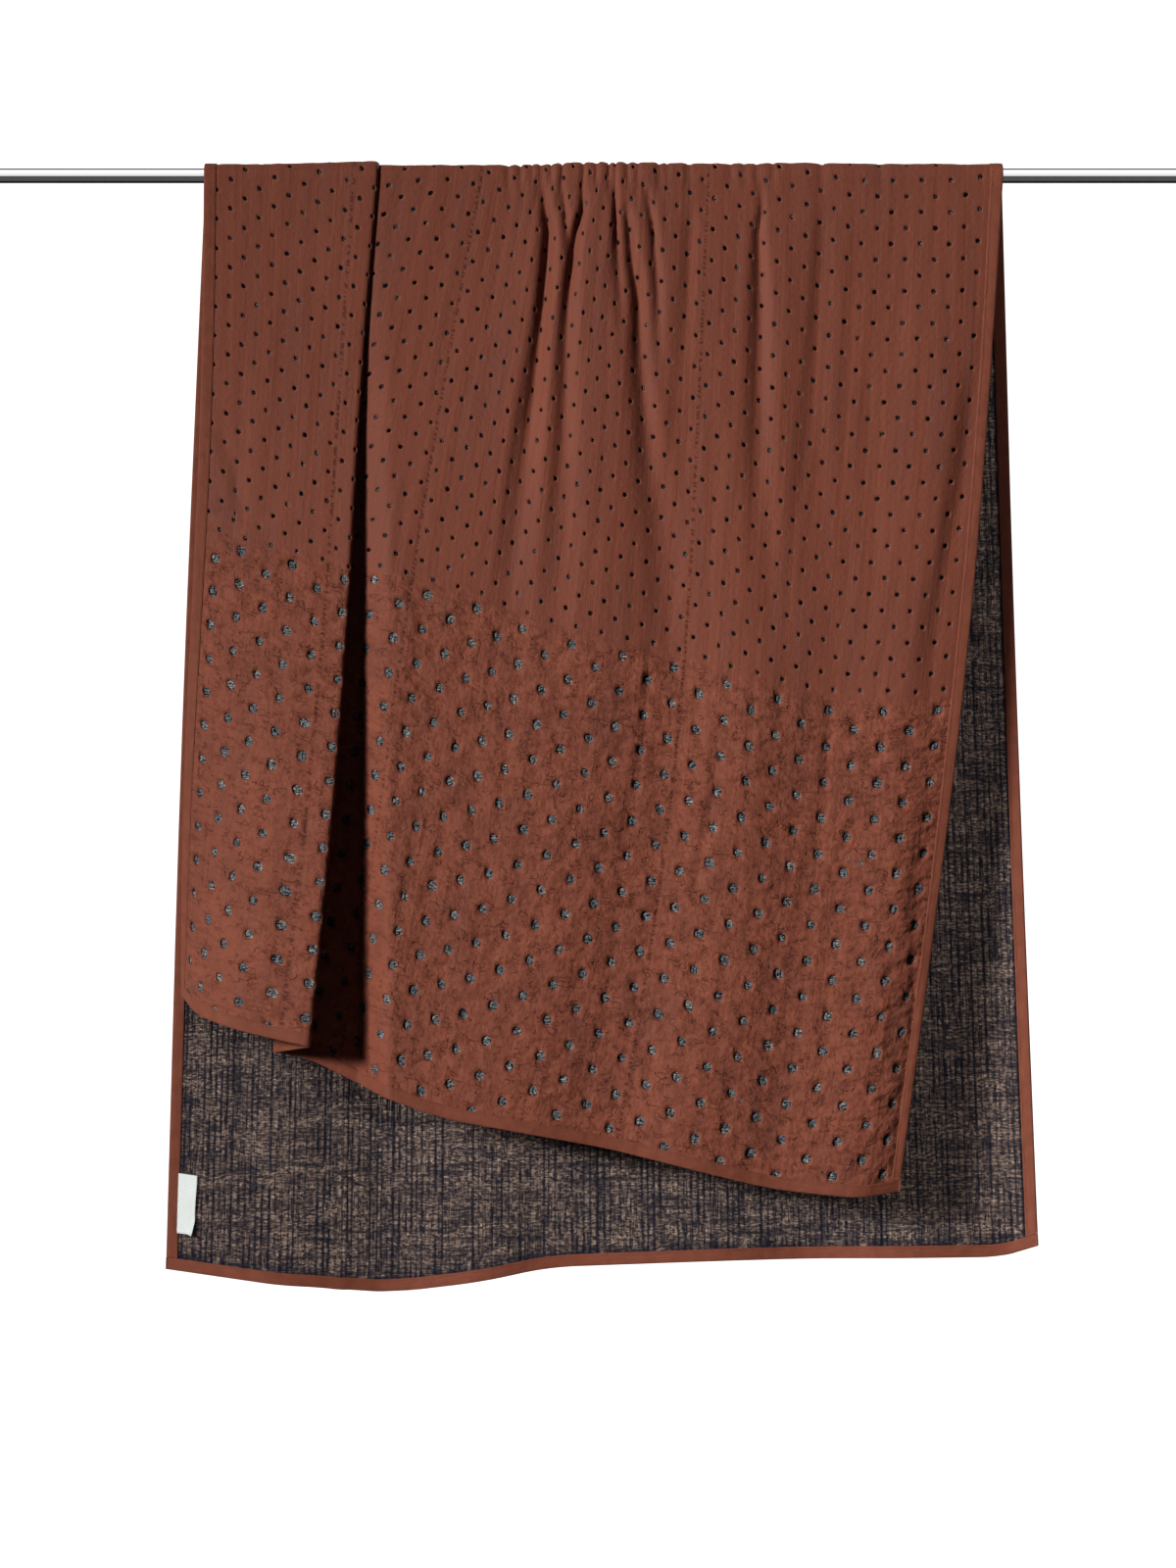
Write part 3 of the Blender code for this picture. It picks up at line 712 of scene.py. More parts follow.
# ---- the backing cloth ----------------------------------------------------------------------
def rib_columns():
    """Places across the cloth of the crinkle's grooves and crests, and how high each stands."""
    rng = np.random.default_rng(41)
    grooves = np.cumsum(rng.uniform(*RIB_WIDTHS, 400))
    grooves = np.concatenate([[0.0], grooves[grooves < WIDTH - SEWN_RIM], [WIDTH]])
    widths = np.diff(grooves)
    places = np.stack([grooves[:-1] + widths * share for share in (0, 0.34, 0.67)], 1)
    depth = rng.uniform(0.45, 1.0, len(widths))
    crest = rng.uniform(0.75, 1.0, (len(widths), 2))
    heights = np.column_stack([1 - depth, crest])
    return np.append(places.reshape(-1), WIDTH), np.append(heights.reshape(-1), 0.3)


def build_backing(name, settings, side, rows, material):
    """A closed crinkled sheet from the rod's top to the front hem (side -1) or the back hem (1)."""
    u, crest = rib_columns()
    drape = Drape(u)
    top = (drape.front_drop + ARC / 2)[:, None]
    low, high = (0 * top, top) if side < 0 else (top, drape.length[:, None])
    distance = low + (high - low) * np.linspace(0, 1, rows)
    middle = drape.points(distance)
    normal = outward(middle)
    height = drape.where(distance)
    across = u[:, None]
    edge, hem = np.minimum(across, WIDTH - across), to_hem(distance, drape.length)
    free = ease(np.abs(height) / 70) * 0.8 + 0.2
    free = free * ease((edge - SEWN_RIM) / 16) * ease((hem - SEWN_RIM) / 18)
    strength = 0.80 + soft_noise(RIB_CHANGE, across, distance)
    crinkle = RIB_HEIGHT * crest[:, None] * strength
    crinkle = crinkle + soft_noise(RIB_WAVE, across, distance)
    crinkle = free * (crinkle + soft_noise(RIB_BAND, 0 * across, distance))
    inner = middle - normal * (settings.backing_inner / MM + crinkle)[..., None]
    outer = middle - normal * (settings.backing_outer / MM + 0.8 * crinkle)[..., None]
    # How deep each point lies in a crinkle groove, kept to paint shade into the grooves.
    groove = (1 - np.clip(crinkle / RIB_HEIGHT, 0, 1)).reshape(-1)
    quilted = large_zone(u, distance, drape.length)
    # Outside the quilted bands the side under the face gets patches of painted shade, near black,
    # standing in for the shade inside the small holes.
    patchy = 0.3 + soft_noise(HOLE_SHADE_PATCHES, across, distance)
    facing = (quilted + (1 - quilted) * np.clip(patchy, 0.0, 0.8)).reshape(-1)
    marks = {
        "groove": np.concatenate([groove, groove]),
        "facing": np.concatenate([facing, 0 * facing - 1]),
    }
    sheet = shell_from_grids(outer, inner, across, height)
    return build_object(name, *sheet, material, marks)


# ---- the bindings ---------------------------------------------------------------------------
def edge_grid(places, from_hem, back=False):
    """Points and normals of the middle surface, carried straight on past the cloth's edges.

    Distances are counted from the front hem, or from the back hem where back is true.
    """
    drape = Drape(np.clip(places, 0, WIDTH))
    length = drape.length[:, None]
    distance = length - from_hem if back else from_hem
    inside = np.clip(distance, 0, length)
    near = np.clip(inside, 1.0, length - 1.0)
    tangent = unit(drape.points(near + 1.0) - drape.points(near - 1.0))
    low, high = Drape(np.clip(places, 2, WIDTH) - 2.0), Drape(np.clip(places, 0, WIDTH - 2) + 2.0)
    across = high.points(near * high.length[:, None] / length)
    across = unit(across - low.points(near * low.length[:, None] / length))
    points = drape.points(inside) + tangent * (distance - inside)[..., None]
    points = points + across * (places - drape.u)[:, None, None]
    return points, unit(np.cross(across, tangent))


def binding_profile(settings):
    """The folded strip's outline: (distance in from the edge, offset) pairs, all the way round."""
    width = settings.binding_width / MM
    wall = settings.binding_offset / MM
    angles = np.radians([20, 55, 90, 125, 160])
    fold = [(-0.4 - 1.2 * math.sin(angle), wall * math.cos(angle)) for angle in angles]
    rim = wall - RIM_SINK
    outer = [(width, rim), (width - 0.7, wall - 0.05), (width - 2.2, wall - 0.3)]
    outer += [(width * 0.55, wall + 0.05), (width * 0.25, wall + 0.1), (0.4, wall)]
    back = [(place, -offset) for place, offset in reversed(outer)]
    inner = [(width, rim - STRIP * 0.5), (width * 0.5, wall - STRIP), (0.4, wall - STRIP)]
    inside = [(place, -offset) for place, offset in inner] + [(0.0, 0.0)] + inner[::-1]
    return np.array(outer + fold + back + inside)


def build_binding(name, settings, edge, material, seed):
    """A folded strip round one edge: 'left', 'right', 'front' or 'back'."""
    profile = binding_profile(settings)
    places, offsets = profile[:, 0], profile[:, 1]
    if edge in ("front", "back"):
        along = np.linspace(-HEM_OVERRUN, WIDTH + HEM_OVERRUN, HEM_POINTS)
        inward = np.repeat(places[None, :], HEM_POINTS, 0)
        middle, normal = edge_grid(along, inward, edge == "back")
    else:
        u = places if edge == "left" else WIDTH - places
        length = Drape(np.clip(u, 0, WIDTH)).length[:, None]
        margin = settings.binding_width / MM + SIDE_GAP
        distance = margin + (length - 2 * margin) * np.linspace(0, 1, SIDE_POINTS)
        middle, normal = (np.swapaxes(grid, 0, 1) for grid in edge_grid(u, distance))
        along = distance.mean(0)
    pucker = sum(
        soft_noise(Swell(*sizes, seed + k), along[:, None], places[None, :])
        for k, sizes in enumerate(STRIP_PUCKERS)
    )
    pucker *= np.clip(np.abs(offsets) / 1.5, 0, 1)
    points = middle + normal * (offsets + np.sign(offsets) * pucker)[..., None]
    count, sides = points.shape[:2]
    ids = np.arange(count * sides).reshape(count, sides)
    ring = np.concatenate([ids, ids[:, :1]], axis=1)
    faces = [grid_quads(ring), ids[:1, ::-1], ids[-1:]]
    if edge in ("front", "right"):
        faces = [face[:, ::-1] for face in faces]
    flat = pairs(along[:, None], places + offsets) * MM
    girth = np.concatenate([[0], np.cumsum(np.hypot(*np.diff(profile, axis=0).T))])
    run = (along - along.min()) / np.ptp(along)
    bake = pairs(run[:, None], girth / girth[-1]) * 0.98 + 0.01
    return build_object(name, points.reshape(-1, 3), faces, flat, bake, material)


def build_stitches(settings, material):
    """The rows of machine stitches through the bindings, on both sides, as one mesh."""
    inward = settings.binding_width / MM - STITCH_INSET
    height = settings.binding_offset / MM - STITCH_SINK
    length, pitch = settings.stitch_length / MM, settings.stitch_pitch / MM
    square = ((-1, -1), (1, -1), (1, 1), (-1, 1))
    shape = np.array([(s * k, w * k, h) for h, k in STITCH_ENDS for s, w in square])
    box = [(0, 3, 2, 1), (4, 5, 6, 7), (0, 1, 5, 4), (1, 2, 6, 5), (2, 3, 7, 6), (3, 0, 4, 7)]
    points, faces, flats = [], [], []
    for edge in ("left", "right", "front", "back"):
        if edge in ("front", "back"):
            run = np.arange(inward, WIDTH - inward, pitch)
            inset = np.full((len(run), 1), inward)
            middle, normal = (grid[:, 0] for grid in edge_grid(run, inset, edge == "back"))
        else:
            place = np.array([inward if edge == "left" else WIDTH - inward])
            run = np.arange(inward, Drape(place).length[0] - inward, pitch)
            middle, normal = (grid[0] for grid in edge_grid(place, run[None, :]))
        along = unit(np.gradient(middle, axis=0))
        beside = np.cross(normal, along)
        for side in (1, -1):
            axes = (along * length / 2, beside * side * STITCH_HALF, normal * side)
            stitch = np.einsum("kc,ncd->nkd", shape, np.stack(axes, axis=1))
            stitch = (middle + normal * side * height)[:, None] + stitch
            first = sum(len(part) for part in points)
            points.append(stitch.reshape(-1, 3))
            ids = first + 8 * np.arange(len(run))[:, None, None] + np.array(box)
            faces.append(ids.reshape(-1, 4))
            flats.append(pairs(run[:, None] + shape[:, 0], shape[:, 1] + side))
    points, flats = np.concatenate(points), np.concatenate(flats) * MM
    count = len(points) // 8
    side = math.ceil(math.sqrt(count))
    cell = np.stack([np.arange(count) % side, np.arange(count) // side], axis=1)
    corner = np.array([(0, 0), (3, 0), (3, 3), (0, 3), (1, 1), (2, 1), (2, 2), (1, 2)])
    bake = ((cell[:, None] + (corner / 3 * 0.8 + 0.1)) / side).reshape(-1, 2)
    return build_object("binding_stitches", points, faces, flats, bake, material)


def build_label(name, material):
    """The bare label: sewn on beside the left binding, its far lower corner curls up."""
    top = LABEL_FOOT + LABEL_LENGTH
    across = np.linspace(LABEL_LEFT, LABEL_LEFT + LABEL_WIDTH, 13)
    along = np.linspace(top, LABEL_FOOT, 34)
    from_hem = np.repeat(along[None, :], len(across), 0)
    middle, normal = edge_grid(across, from_hem, True)
    side = (across[:, None] - LABEL_LEFT) / LABEL_WIDTH
    down = (top - along[None, :]) / LABEL_LENGTH
    lift = LABEL_LIFT + side * (0.5 + 1.6 * np.sin(down * 4.1 + 0.3) ** 2)
    corner = np.clip((side + 1.6 * down - 2.15) / 0.45, 0, 1)
    lift = lift + 5.0 * corner**1.5
    slide = np.zeros_like(middle)
    slide[..., 0] = -3.6 * corner**1.2 + 0.7 * side * np.sin(down * 6 + 1)
    outer = middle - normal * (lift - LABEL_HALF)[..., None] + slide
    inner = middle - normal * (lift + LABEL_HALF)[..., None] + slide
    sheet = shell_from_grids(outer, inner, across[:, None], from_hem)
    return build_object(name, *sheet, material)


# ---- materials ------------------------------------------------------------------------------
class Tree:
    """Adds nodes to a node tree and links them, left to right."""

    def __init__(self, tree):
        self.nodes, self.links = tree.nodes, tree.links

    def feed(self, sockets, values):
        """Put each value in its socket, or link the node output that it is."""
        for key, value in values.items():
            if isinstance(value, bpy.types.NodeSocket):
                self.links.new(value, sockets[key])
            else:
                sockets[key].default_value = value

    def add(self, kind, values=(), **settings):
        node = self.nodes.new(kind)
        for key, setting in settings.items():
            setattr(node, key, setting)
        self.feed(node.inputs, dict(values))
        return node.outputs

    def ramp(self, value, low, high, least=0.0, most=1.0):
        """Eases from least to most as the value goes from low to high."""
        values = {"Value": value, "From Min": low, "From Max": high}
        values |= {"To Min": least, "To Max": most}
        return self.add("ShaderNodeMapRange", values, interpolation_type="SMOOTHSTEP")["Result"]

    def math(self, operation, *values):
        return self.add("ShaderNodeMath", enumerate(values), operation=operation)["Value"]

    def times(self, first, *others):
        for other in others:
            first = self.math("MULTIPLY", first, other)
        return first


class Finish(Tree):
    """A material's nodes; patterns lie on the cloth's own flat coordinates in metres."""

    def __init__(self, name):
        self.material = bpy.data.materials.new(name)
        self.material.use_nodes = True
        super().__init__(self.material.node_tree)
        self.shader = self.nodes["Principled BSDF"]

    def flat(self):
        return self.add("ShaderNodeUVMap", uv_map="cloth")["UV"]

    def noise(self, scale, detail=1.0, roughness=0.5, place=None):
        """Noise with this many swells a metre across and along."""
        values = {"Vector": place or self.flat(), "Scale": (*scale, 1.0)}
        place = self.add("ShaderNodeMapping", values)["Vector"]
        values = {"Vector": place, "Scale": 1.0, "Detail": detail, "Roughness": roughness}
        return self.add("ShaderNodeTexNoise", values, noise_dimensions="2D")["Fac"]

    def cloud(self, scale, low, high, detail=1.0, roughness=0.5):
        """Noise with its contrast raised: 0 under low, 1 over high."""
        return self.ramp(self.noise(scale, detail, roughness), low, high)

    def lines(self, value, middle, width):
        """1 where the value passes the middle, 0 from width away."""
        beside = self.math("ABSOLUTE", self.math("SUBTRACT", value, middle))
        return self.ramp(beside, width, 0.0)

    def mark(self, name):
        return self.add("ShaderNodeAttribute", attribute_name=name)["Fac"]

    def mix(self, share, first, second):
        return self.add("ShaderNodeMix", {0: share, 6: first, 7: second}, data_type="RGBA")[2]

    def tint(self, base, colour, *shares):
        """Lays a colour over the base, as much as all the shares together say."""
        return self.mix(self.times(*shares), base, colour)

    def finish(self, colour, roughness, bumps, specular, sheen=0.0, sheen_tint=WHITE):
        """Fill in the shader; bumps are (height, distance, strength), one laid over the other."""
        before = {}
        for height, distance, strength in bumps:
            values = {"Height": height, "Distance": distance, "Strength": strength} | before
            before = {"Normal": self.add("ShaderNodeBump", values)["Normal"]}
        self.feed(self.shader.inputs, before | {
            "Base Color": colour, "Roughness": roughness, "Specular IOR Level": specular,
            "Sheen Weight": sheen, "Sheen Roughness": 0.4, "Sheen Tint": sheen_tint,
        })
        return self.material


def shade(colour, factor=1.0):
    return tuple(channel * factor for channel in colour[:3]) + (1.0,)


def face_material(colour):
    """Brown punched cotton: fine plain weave, long soft streaks and crepe where it is quilted,
    painted shade in its puckers, creases and seams, and pale hole lips of fray and painted
    highlight.
    """
    cotton = Finish("brown punched cotton")
    quilted = cotton.mark("quilted")
    streaks = cotton.noise((240, 5), 3.0, 0.6)
    base = cotton.mix(cotton.ramp(streaks, 0.3, 0.7), shade(colour, 0.90), shade(colour, 1.08))
    rosy = (colour[0] * 0.95, colour[1] * 1.03, colour[2] * 1.16, 1.0)
    base = cotton.tint(base, rosy, cotton.cloud((90, 3), 0.35, 0.7, 2.0))

    # Small dark spots in the quilted bands: painted shade in the cloth's puckers.
    pucker_shade = cotton.cloud((200, 260), 0.60, 0.68, 1.5, 0.55)
    gathered = cotton.cloud((45, 34), 0.38, 0.56)
    # Crease lines in the quilted bands: painted shade darkens the cloth along them, and the bump
    # sinks them.
    level = cotton.lines(cotton.noise((48, 150)), 0.5, 0.034)
    slanted = cotton.lines(cotton.noise((120, 105)), 0.5, 0.024)
    shaded_wrinkles = cotton.math("MAXIMUM", level, cotton.times(slanted, 0.55))
    shaded_wrinkles = cotton.times(shaded_wrinkles, cotton.cloud((60, 64), 0.54, 0.63), quilted)
    # Dashed dark lines along the tuck and the panel seams: painted shade where the stitching
    # puckers the cloth.
    across = cotton.add("ShaderNodeSeparateXYZ", {"Vector": cotton.flat()})["X"]
    seams = 0.0
    for place in (TUCK_LINE_U, *PANEL_SEAMS):
        seams = cotton.math("MAXIMUM", seams, cotton.lines(across, place * MM, 0.0040))
    seams = cotton.times(seams, cotton.cloud((90, 300), 0.50, 0.60))
    for factor, *shares in (
        (1.1, cotton.cloud((14, 9), 0.3, 0.7, 2.0), 0.5),
        (1.16, cotton.cloud((22, 17), 0.3, 0.7, 2.0), quilted),
        (1.3, cotton.cloud((1500, 160), 0.35, 0.75), 0.18),
        # This layer and the two below are painted shade: pucker spots, crease lines and seam lines.
        (0.5, pucker_shade, gathered, quilted, 0.36),
        (0.40, shaded_wrinkles, 0.42),
        (0.42, seams, 0.62),
    ):
        base = cotton.tint(base, shade(colour, factor), *shares)
    # Pale specks on the hole lips: partly frayed cut edges, partly painted highlight where the lips
    # catch the light.
    fray_and_highlight = cotton.cloud((420, 420), 0.5, 0.62)
    base = cotton.tint(base, (0.36, 0.24, 0.19, 1.0), fray_and_highlight, cotton.mark("rim"), 0.8)

    crepe = cotton.noise((170, 170), 3.0, 0.55)
    crepe = cotton.times(crepe, cotton.math("MULTIPLY_ADD", quilted, 0.8, 0.5))
    waves = cotton.times(cotton.noise((32, 80)), quilted)
    folds = cotton.math("ADD", cotton.times(shaded_wrinkles, -1.0), cotton.times(seams, -0.8))
    bumps = [(crepe, 0.0012, 0.9), (waves, 0.0050, 0.9), (folds, 0.0008, 0.9)]
    bumps += [(streaks, 0.0008, 0.45), (cotton.noise((1400, 700)), 0.0002, 0.6)]
    return cotton.finish(base, 0.62, bumps, 0.1, 0.12, ROSY_SHEEN)


def backing_material(dark, light, facing_colour):
    """Charcoal and beige yarns in an open crinkled weave, with a slate side under the holes;
    painted shade darkens its crinkle hollows and grooves and turns the slate near black in patches
    under the small holes.
    """
    weave = Finish("charcoal crinkled weave")
    weft = weave.cloud((150, 400), 0.44, 0.58)
    warp = weave.cloud((520, 90), 0.40, 0.64)
    crinkle = weave.noise((150, 190))
    bands = weave.cloud((9, 150), 0.36, 0.56)
    yarn = weave.math("ADD", weave.times(weft, 0.7), weave.times(warp, 0.3))
    # Painted shade: the yarn darkens in the hollows of the crinkle bump; the bands and broad clouds
    # darken it too.
    for share, least in (
        (weave.ramp(crinkle, 0.34, 0.50), 0.82),
        (bands, 0.66),
        (weave.cloud((6, 3), 0.36, 0.64), 0.96),
    ):
        yarn = weave.times(yarn, weave.math("MULTIPLY_ADD", share, 1.0 - least, least))
    colour = weave.mix(yarn, shade(dark), shade(light))
    colour = weave.tint(colour, shade(light, 1.6), weave.cloud((210, 520), 0.62, 0.70), bands, 0.8)

    rows = weave.lines(weave.noise((12, 110)), 0.5, 0.075)
    rows = weave.times(rows, weave.cloud((28, 28), 0.34, 0.56))
    posts = weave.lines(weave.noise((130, 7)), 0.5, 0.070)
    posts = weave.times(posts, weave.cloud((60, 70), 0.36, 0.58))
    lines = weave.math("MAXIMUM", weave.times(rows, 0.85), posts)
    colour = weave.tint(colour, NAVY, lines, 0.72)
    # Painted shade: the crinkle's grooves are darkened towards navy.
    groove = weave.ramp(weave.mark("groove"), 0.30, 0.85)
    colour = weave.tint(colour, NAVY, groove, weave.cloud((60, 26), 0.25, 0.50), 0.86)

    strokes = weave.cloud((210, 640), 0.42, 0.58, 2.0, 0.6)
    picks = weave.cloud((620, 210), 0.50, 0.64, 2.0, 0.6)
    hatch = weave.math("MAXIMUM", strokes, weave.times(picks, 0.7))
    slate = weave.mix(hatch, (0.010, 0.011, 0.016, 1.0), shade(facing_colour))
    pale = weave.times(weave.cloud((260, 560), 0.58, 0.66), weave.cloud((30, 30), 0.40, 0.60))
    slate = weave.tint(slate, (0.46, 0.41, 0.34, 1.0), pale, 0.9)
    # Where facing is low the slate goes near black: painted shade seen through the small holes.
    facing = weave.mark("facing")
    slate = weave.mix(weave.ramp(facing, 0.0, 1.0), (0.006, 0.006, 0.008, 1.0), slate)
    colour = weave.tint(colour, slate, weave.ramp(facing, -0.6, -0.4))

    relief = weave.math("ADD", weave.times(lines, -1.0), weave.times(bands, 0.5))
    bumps = [(weave.noise((380, 560), 3.0, 0.65), 0.0012, 0.9)]
    bumps += [(crinkle, 0.0010, 0.9), (relief, 0.0016, 0.8)]
    return weave.finish(colour, 0.9, bumps, 0.08, 0.1)


def binding_material(colour):
    strip = Finish("brown folded binding")
    clouds = strip.noise((60, 60), 2.0)
    streaks = strip.cloud((30, 900), 0.3, 0.7, 2.0)
    base = strip.mix(streaks, shade(colour, 0.92), shade(colour, 1.08))
    base = strip.tint(base, shade(colour, 0.88), strip.ramp(clouds, 0.35, 0.75))
    bumps = [(clouds, 0.0014, 0.6), (strip.noise((1300, 1300)), 0.0002, 0.6)]
    return strip.finish(base, 0.64, bumps, 0.1, 0.12, ROSY_SHEEN)


def thread_material(colour):
    thread = Finish("brown stitching thread")
    twist = thread.noise((1500, 1500))
    base = thread.mix(thread.ramp(twist, 0.3, 0.7), shade(colour, 0.62), shade(colour, 0.95))
    return thread.finish(base, 0.5, [(twist, 0.0002, 0.5)], 0.3, 0.1)


def label_material():
    tape = Finish("white cotton tape")
    ribs = tape.noise((220, 2400))
    base = tape.mix(tape.ramp(ribs, 0.2, 0.8), (0.56, 0.58, 0.56, 1), (0.63, 0.65, 0.63, 1))
    return tape.finish(base, 0.75, [(ribs, 0.0002, 0.7)], 0.25, 0.1)


def chrome_material():
    chrome = Finish("polished chrome")
    grain = chrome.noise((3, 900), 2.0, 0.5, chrome.add("ShaderNodeTexCoord")["Object"])
    values = {"Value": grain, "To Min": 0.03, "To Max": 0.06}
    roughness = chrome.add("ShaderNodeMapRange", values)["Result"]
    colour = chrome.mix(grain, (0.93, 0.93, 0.94, 1), (0.97, 0.97, 0.98, 1))
    chrome.feed(chrome.shader.inputs, {"Metallic": 1.0})
    return chrome.finish(colour, roughness, [(grain, 0.00001, 0.1)], 0.5)


# ---- settings -------------------------------------------------------------------------------
def length_setting(name, description, default):
    return bpy.props.FloatProperty(
        name=name, description=description, default=default, unit="LENGTH", precision=5
    )


def power_setting(name, description, default):
    return bpy.props.FloatProperty(
        name=name, description=description, default=default, unit="POWER"
    )


def colour_setting(name, description, default):
    return bpy.props.FloatVectorProperty(
        name=name, description=description, default=default, subtype="COLOR", min=0, max=1
    )


class ThrowFaceSettings(bpy.types.PropertyGroup):
    small_hole: length_setting("Small hole", "Diameter of the small punched holes", 0.0053)
    large_hole: length_setting("Large hole", "Diameter of the large punched holes", 0.0110)
    face_offset: length_setting("Face offset", "How far the face lies out from the middle", 0.0014)
    colour: colour_setting("Face colour", "Colour of the punched cotton", (0.206, 0.070, 0.044))


class ThrowBackingSettings(bpy.types.PropertyGroup):
    backing_inner: length_setting("Inner side", "Depth of the crinkled reverse", 0.0002)
    backing_outer: length_setting("Outer side", "Depth of the side under the face", -0.0003)
    dark: colour_setting("Dark yarn", "Colour of the charcoal yarn", (0.044, 0.032, 0.034))
    light: colour_setting("Light yarn", "Colour of the beige yarn", (0.246, 0.182, 0.146))
    facing: colour_setting("Facing yarn", "Colour seen through the holes", (0.200, 0.204, 0.215))


class ThrowBindingSettings(bpy.types.PropertyGroup):
    binding_width: length_setting("Width", "How far the binding reaches in from the edge", 0.012)
    binding_offset: length_setting("Offset", "Half the thickness over the binding", 0.0021)
    colour: colour_setting("Binding colour", "Colour of the folded strip", (0.216, 0.074, 0.046))
    stitch_length: length_setting("Stitch", "Length of one stitch", 0.0026)
    stitch_pitch: length_setting("Stitch pitch", "Distance from stitch to stitch", 0.0036)


class ThrowStageSettings(bpy.types.PropertyGroup):
    camera_distance: length_setting("Camera distance", "From the rod to the camera", 5.6)
    frame_height: length_setting("Frame height", "Height of the view at the rod", 1.712)
    frame_centre: length_setting("Frame centre", "Height of the view's centre", -0.664)
    floor_height: length_setting("Floor", "Height of the floor under the rod", -3.2)
    floor_size: length_setting("Floor size", "Length of the floor's sides", 2.6)
    key_power: power_setting("Key light", "Power of the soft light from the upper left", 118.0)
    back_power: power_setting("Back light", "Power of the soft light behind the rod", 150.0)
    reverse_power: power_setting("Reverse light", "Power of the soft light on the reverse", 165.0)
    edge_power: power_setting("Edge light", "Power of the soft light on the bindings behind", 50.0)
    room_light: bpy.props.FloatProperty(
        name="Room light", description="Brightness of the dim room in front", default=0.01
    )


# ---- operators ------------------------------------------------------------------------------
class THROW_OT_face(bpy.types.Operator):
    """Build the punched face cloth in its three sewn panels"""

    bl_idname = "throw.face"
    bl_label = "Face cloth"

    def execute(self, context):
        settings = context.scene.throw_face
        material = face_material(settings.colour)
        cloth = FaceCloth(settings)
        cuts = (0, *(i + 1 for i in SEAM_COLUMNS), len(cloth.u) - 1)
        names = ("face_left_panel", "face_middle_panel", "face_right_panel")
        for name, first, last in zip(names, cuts, cuts[1:]):
            piece = cloth.panel(name, first, last, material)
            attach(piece, "root")
            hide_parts("face_cloth")
        return {"FINISHED"}


class THROW_OT_backing(bpy.types.Operator):
    """Build the crinkled backing cloth, in front of the rod and behind it"""

    bl_idname = "throw.backing"
    bl_label = "Backing cloth"

    def execute(self, context):
        settings = context.scene.throw_backing
        material = backing_material(settings.dark, settings.light, settings.facing)
        for name, side, rows, length in (
            ("backing_front", -1, 84, 1.03),
            ("backing_back", 1, 98, 1.21),
        ):
            piece = build_backing(name, settings, side, rows, material)
            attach(piece, "root")
            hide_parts("backing_cloth")
        return {"FINISHED"}


class THROW_OT_bindings(bpy.types.Operator):
    """Fold the four bindings round the cloth's edges and stitch them"""

    bl_idname = "throw.bindings"
    bl_label = "Bindings"

    def execute(self, context):
        settings = context.scene.throw_binding
        material = binding_material(settings.colour)
        for edge, node, seed in (
            ("left", "binding_left", 61),
            ("right", "binding_right", 67),
            ("front", "binding_front_hem", 71),
            ("back", "binding_back_hem", 73),
        ):
            piece = build_binding(f"{edge}_binding", settings, edge, material, seed)
            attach(piece, "root")
            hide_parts(node)
        stitches = build_stitches(settings, thread_material(settings.colour))
        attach(stitches, "root")
        return {"FINISHED"}


class THROW_OT_label(bpy.types.Operator):
    """Build the bare white label on the reverse"""

    bl_idname = "throw.label"
    bl_label = "Label"

    def execute(self, context):
        piece = build_label("bare_label", label_material())
        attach(piece, "root")
        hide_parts("label")
        return {"FINISHED"}


class THROW_OT_rod(bpy.types.Operator):
    """Give the rod its chrome"""

    bl_idname = "throw.rod"
    bl_label = "Rod finish"

    def execute(self, context):
        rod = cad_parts["rod"]
        rod.data.materials.clear()
        rod.data.materials.append(chrome_material())
        return {"FINISHED"}


# ---- the stage ------------------------------------------------------------------------------
# Places and sizes in metres, the beam in degrees, and the pieces lit where it isn't all of them.
Light = namedtuple("Light", "name setting place target size beam lit")
LIGHTS = (
    Light("key light", "key_power", (-10.6, -10.6, 3.0), (2.9, 0, -1.8), 3.2, 30, ()),
    Light("back light", "back_power", (4.6, 5.2, 2.4), (0, 0, -0.6), 2.0, 180, ()),
    Light("reverse light", "reverse_power", (3.4, -4.8, -0.7), (0.5, 0, -0.8), 1.8, 180,
          ("backing_back", "bare_label")),
    Light("edge light", "edge_power", (3.4, -4.8, -0.7), (0.5, 0, -0.8), 1.8, 180,
          ("right_binding", "back_binding")),
)


def add_light(row, power):
    light = bpy.data.lights.new(row.name, "AREA")
    light.shape = "DISK"
    light.size = row.size
    light.energy = power
    light.spread = math.radians(row.beam)
    item = bpy.data.objects.new(row.name, light)
    item.location = row.place
    aim = Vector(row.target) - Vector(row.place)
    item.rotation_euler = aim.to_track_quat("-Z", "Y").to_euler()
    bpy.context.scene.collection.objects.link(item)
    if row.lit:
        lit = bpy.data.collections.new(row.name)
        for piece in row.lit:
            lit.objects.link(bpy.data.objects[piece])
        item.light_linking.receiver_collection = lit


def studio_light(world, room_light):
    """A white wall behind, a dim room in front, a bright ceiling for the rod to mirror."""
    room = Tree(world.node_tree)
    direction = room.add("ShaderNodeTexCoord")["Generated"]
    parts = room.add("ShaderNodeSeparateXYZ", {"Vector": direction})
    path = room.add("ShaderNodeLightPath")
    mirror = path["Is Glossy Ray"]
    wall = room.ramp(parts["Y"], 0.25, 0.6, room_light, 1.0)
    ceiling = room.times(
        room.ramp(parts["Z"], -0.14, -0.10, 0.09, 0.74),
        room.ramp(parts["Z"], 0.6, 0.7, 1.0, 1.4),
        room.ramp(parts["Y"], 0.18, 0.30, 1.0, 0.02),
    )
    direct = room.math("SUBTRACT", wall, room.times(wall, mirror))
    seen = room.math("MAXIMUM", direct, path["Is Camera Ray"])
    strength = room.math("MAXIMUM", seen, room.times(ceiling, mirror))
    room.feed(room.nodes["Background"].inputs, {"Color": WHITE, "Strength": strength})


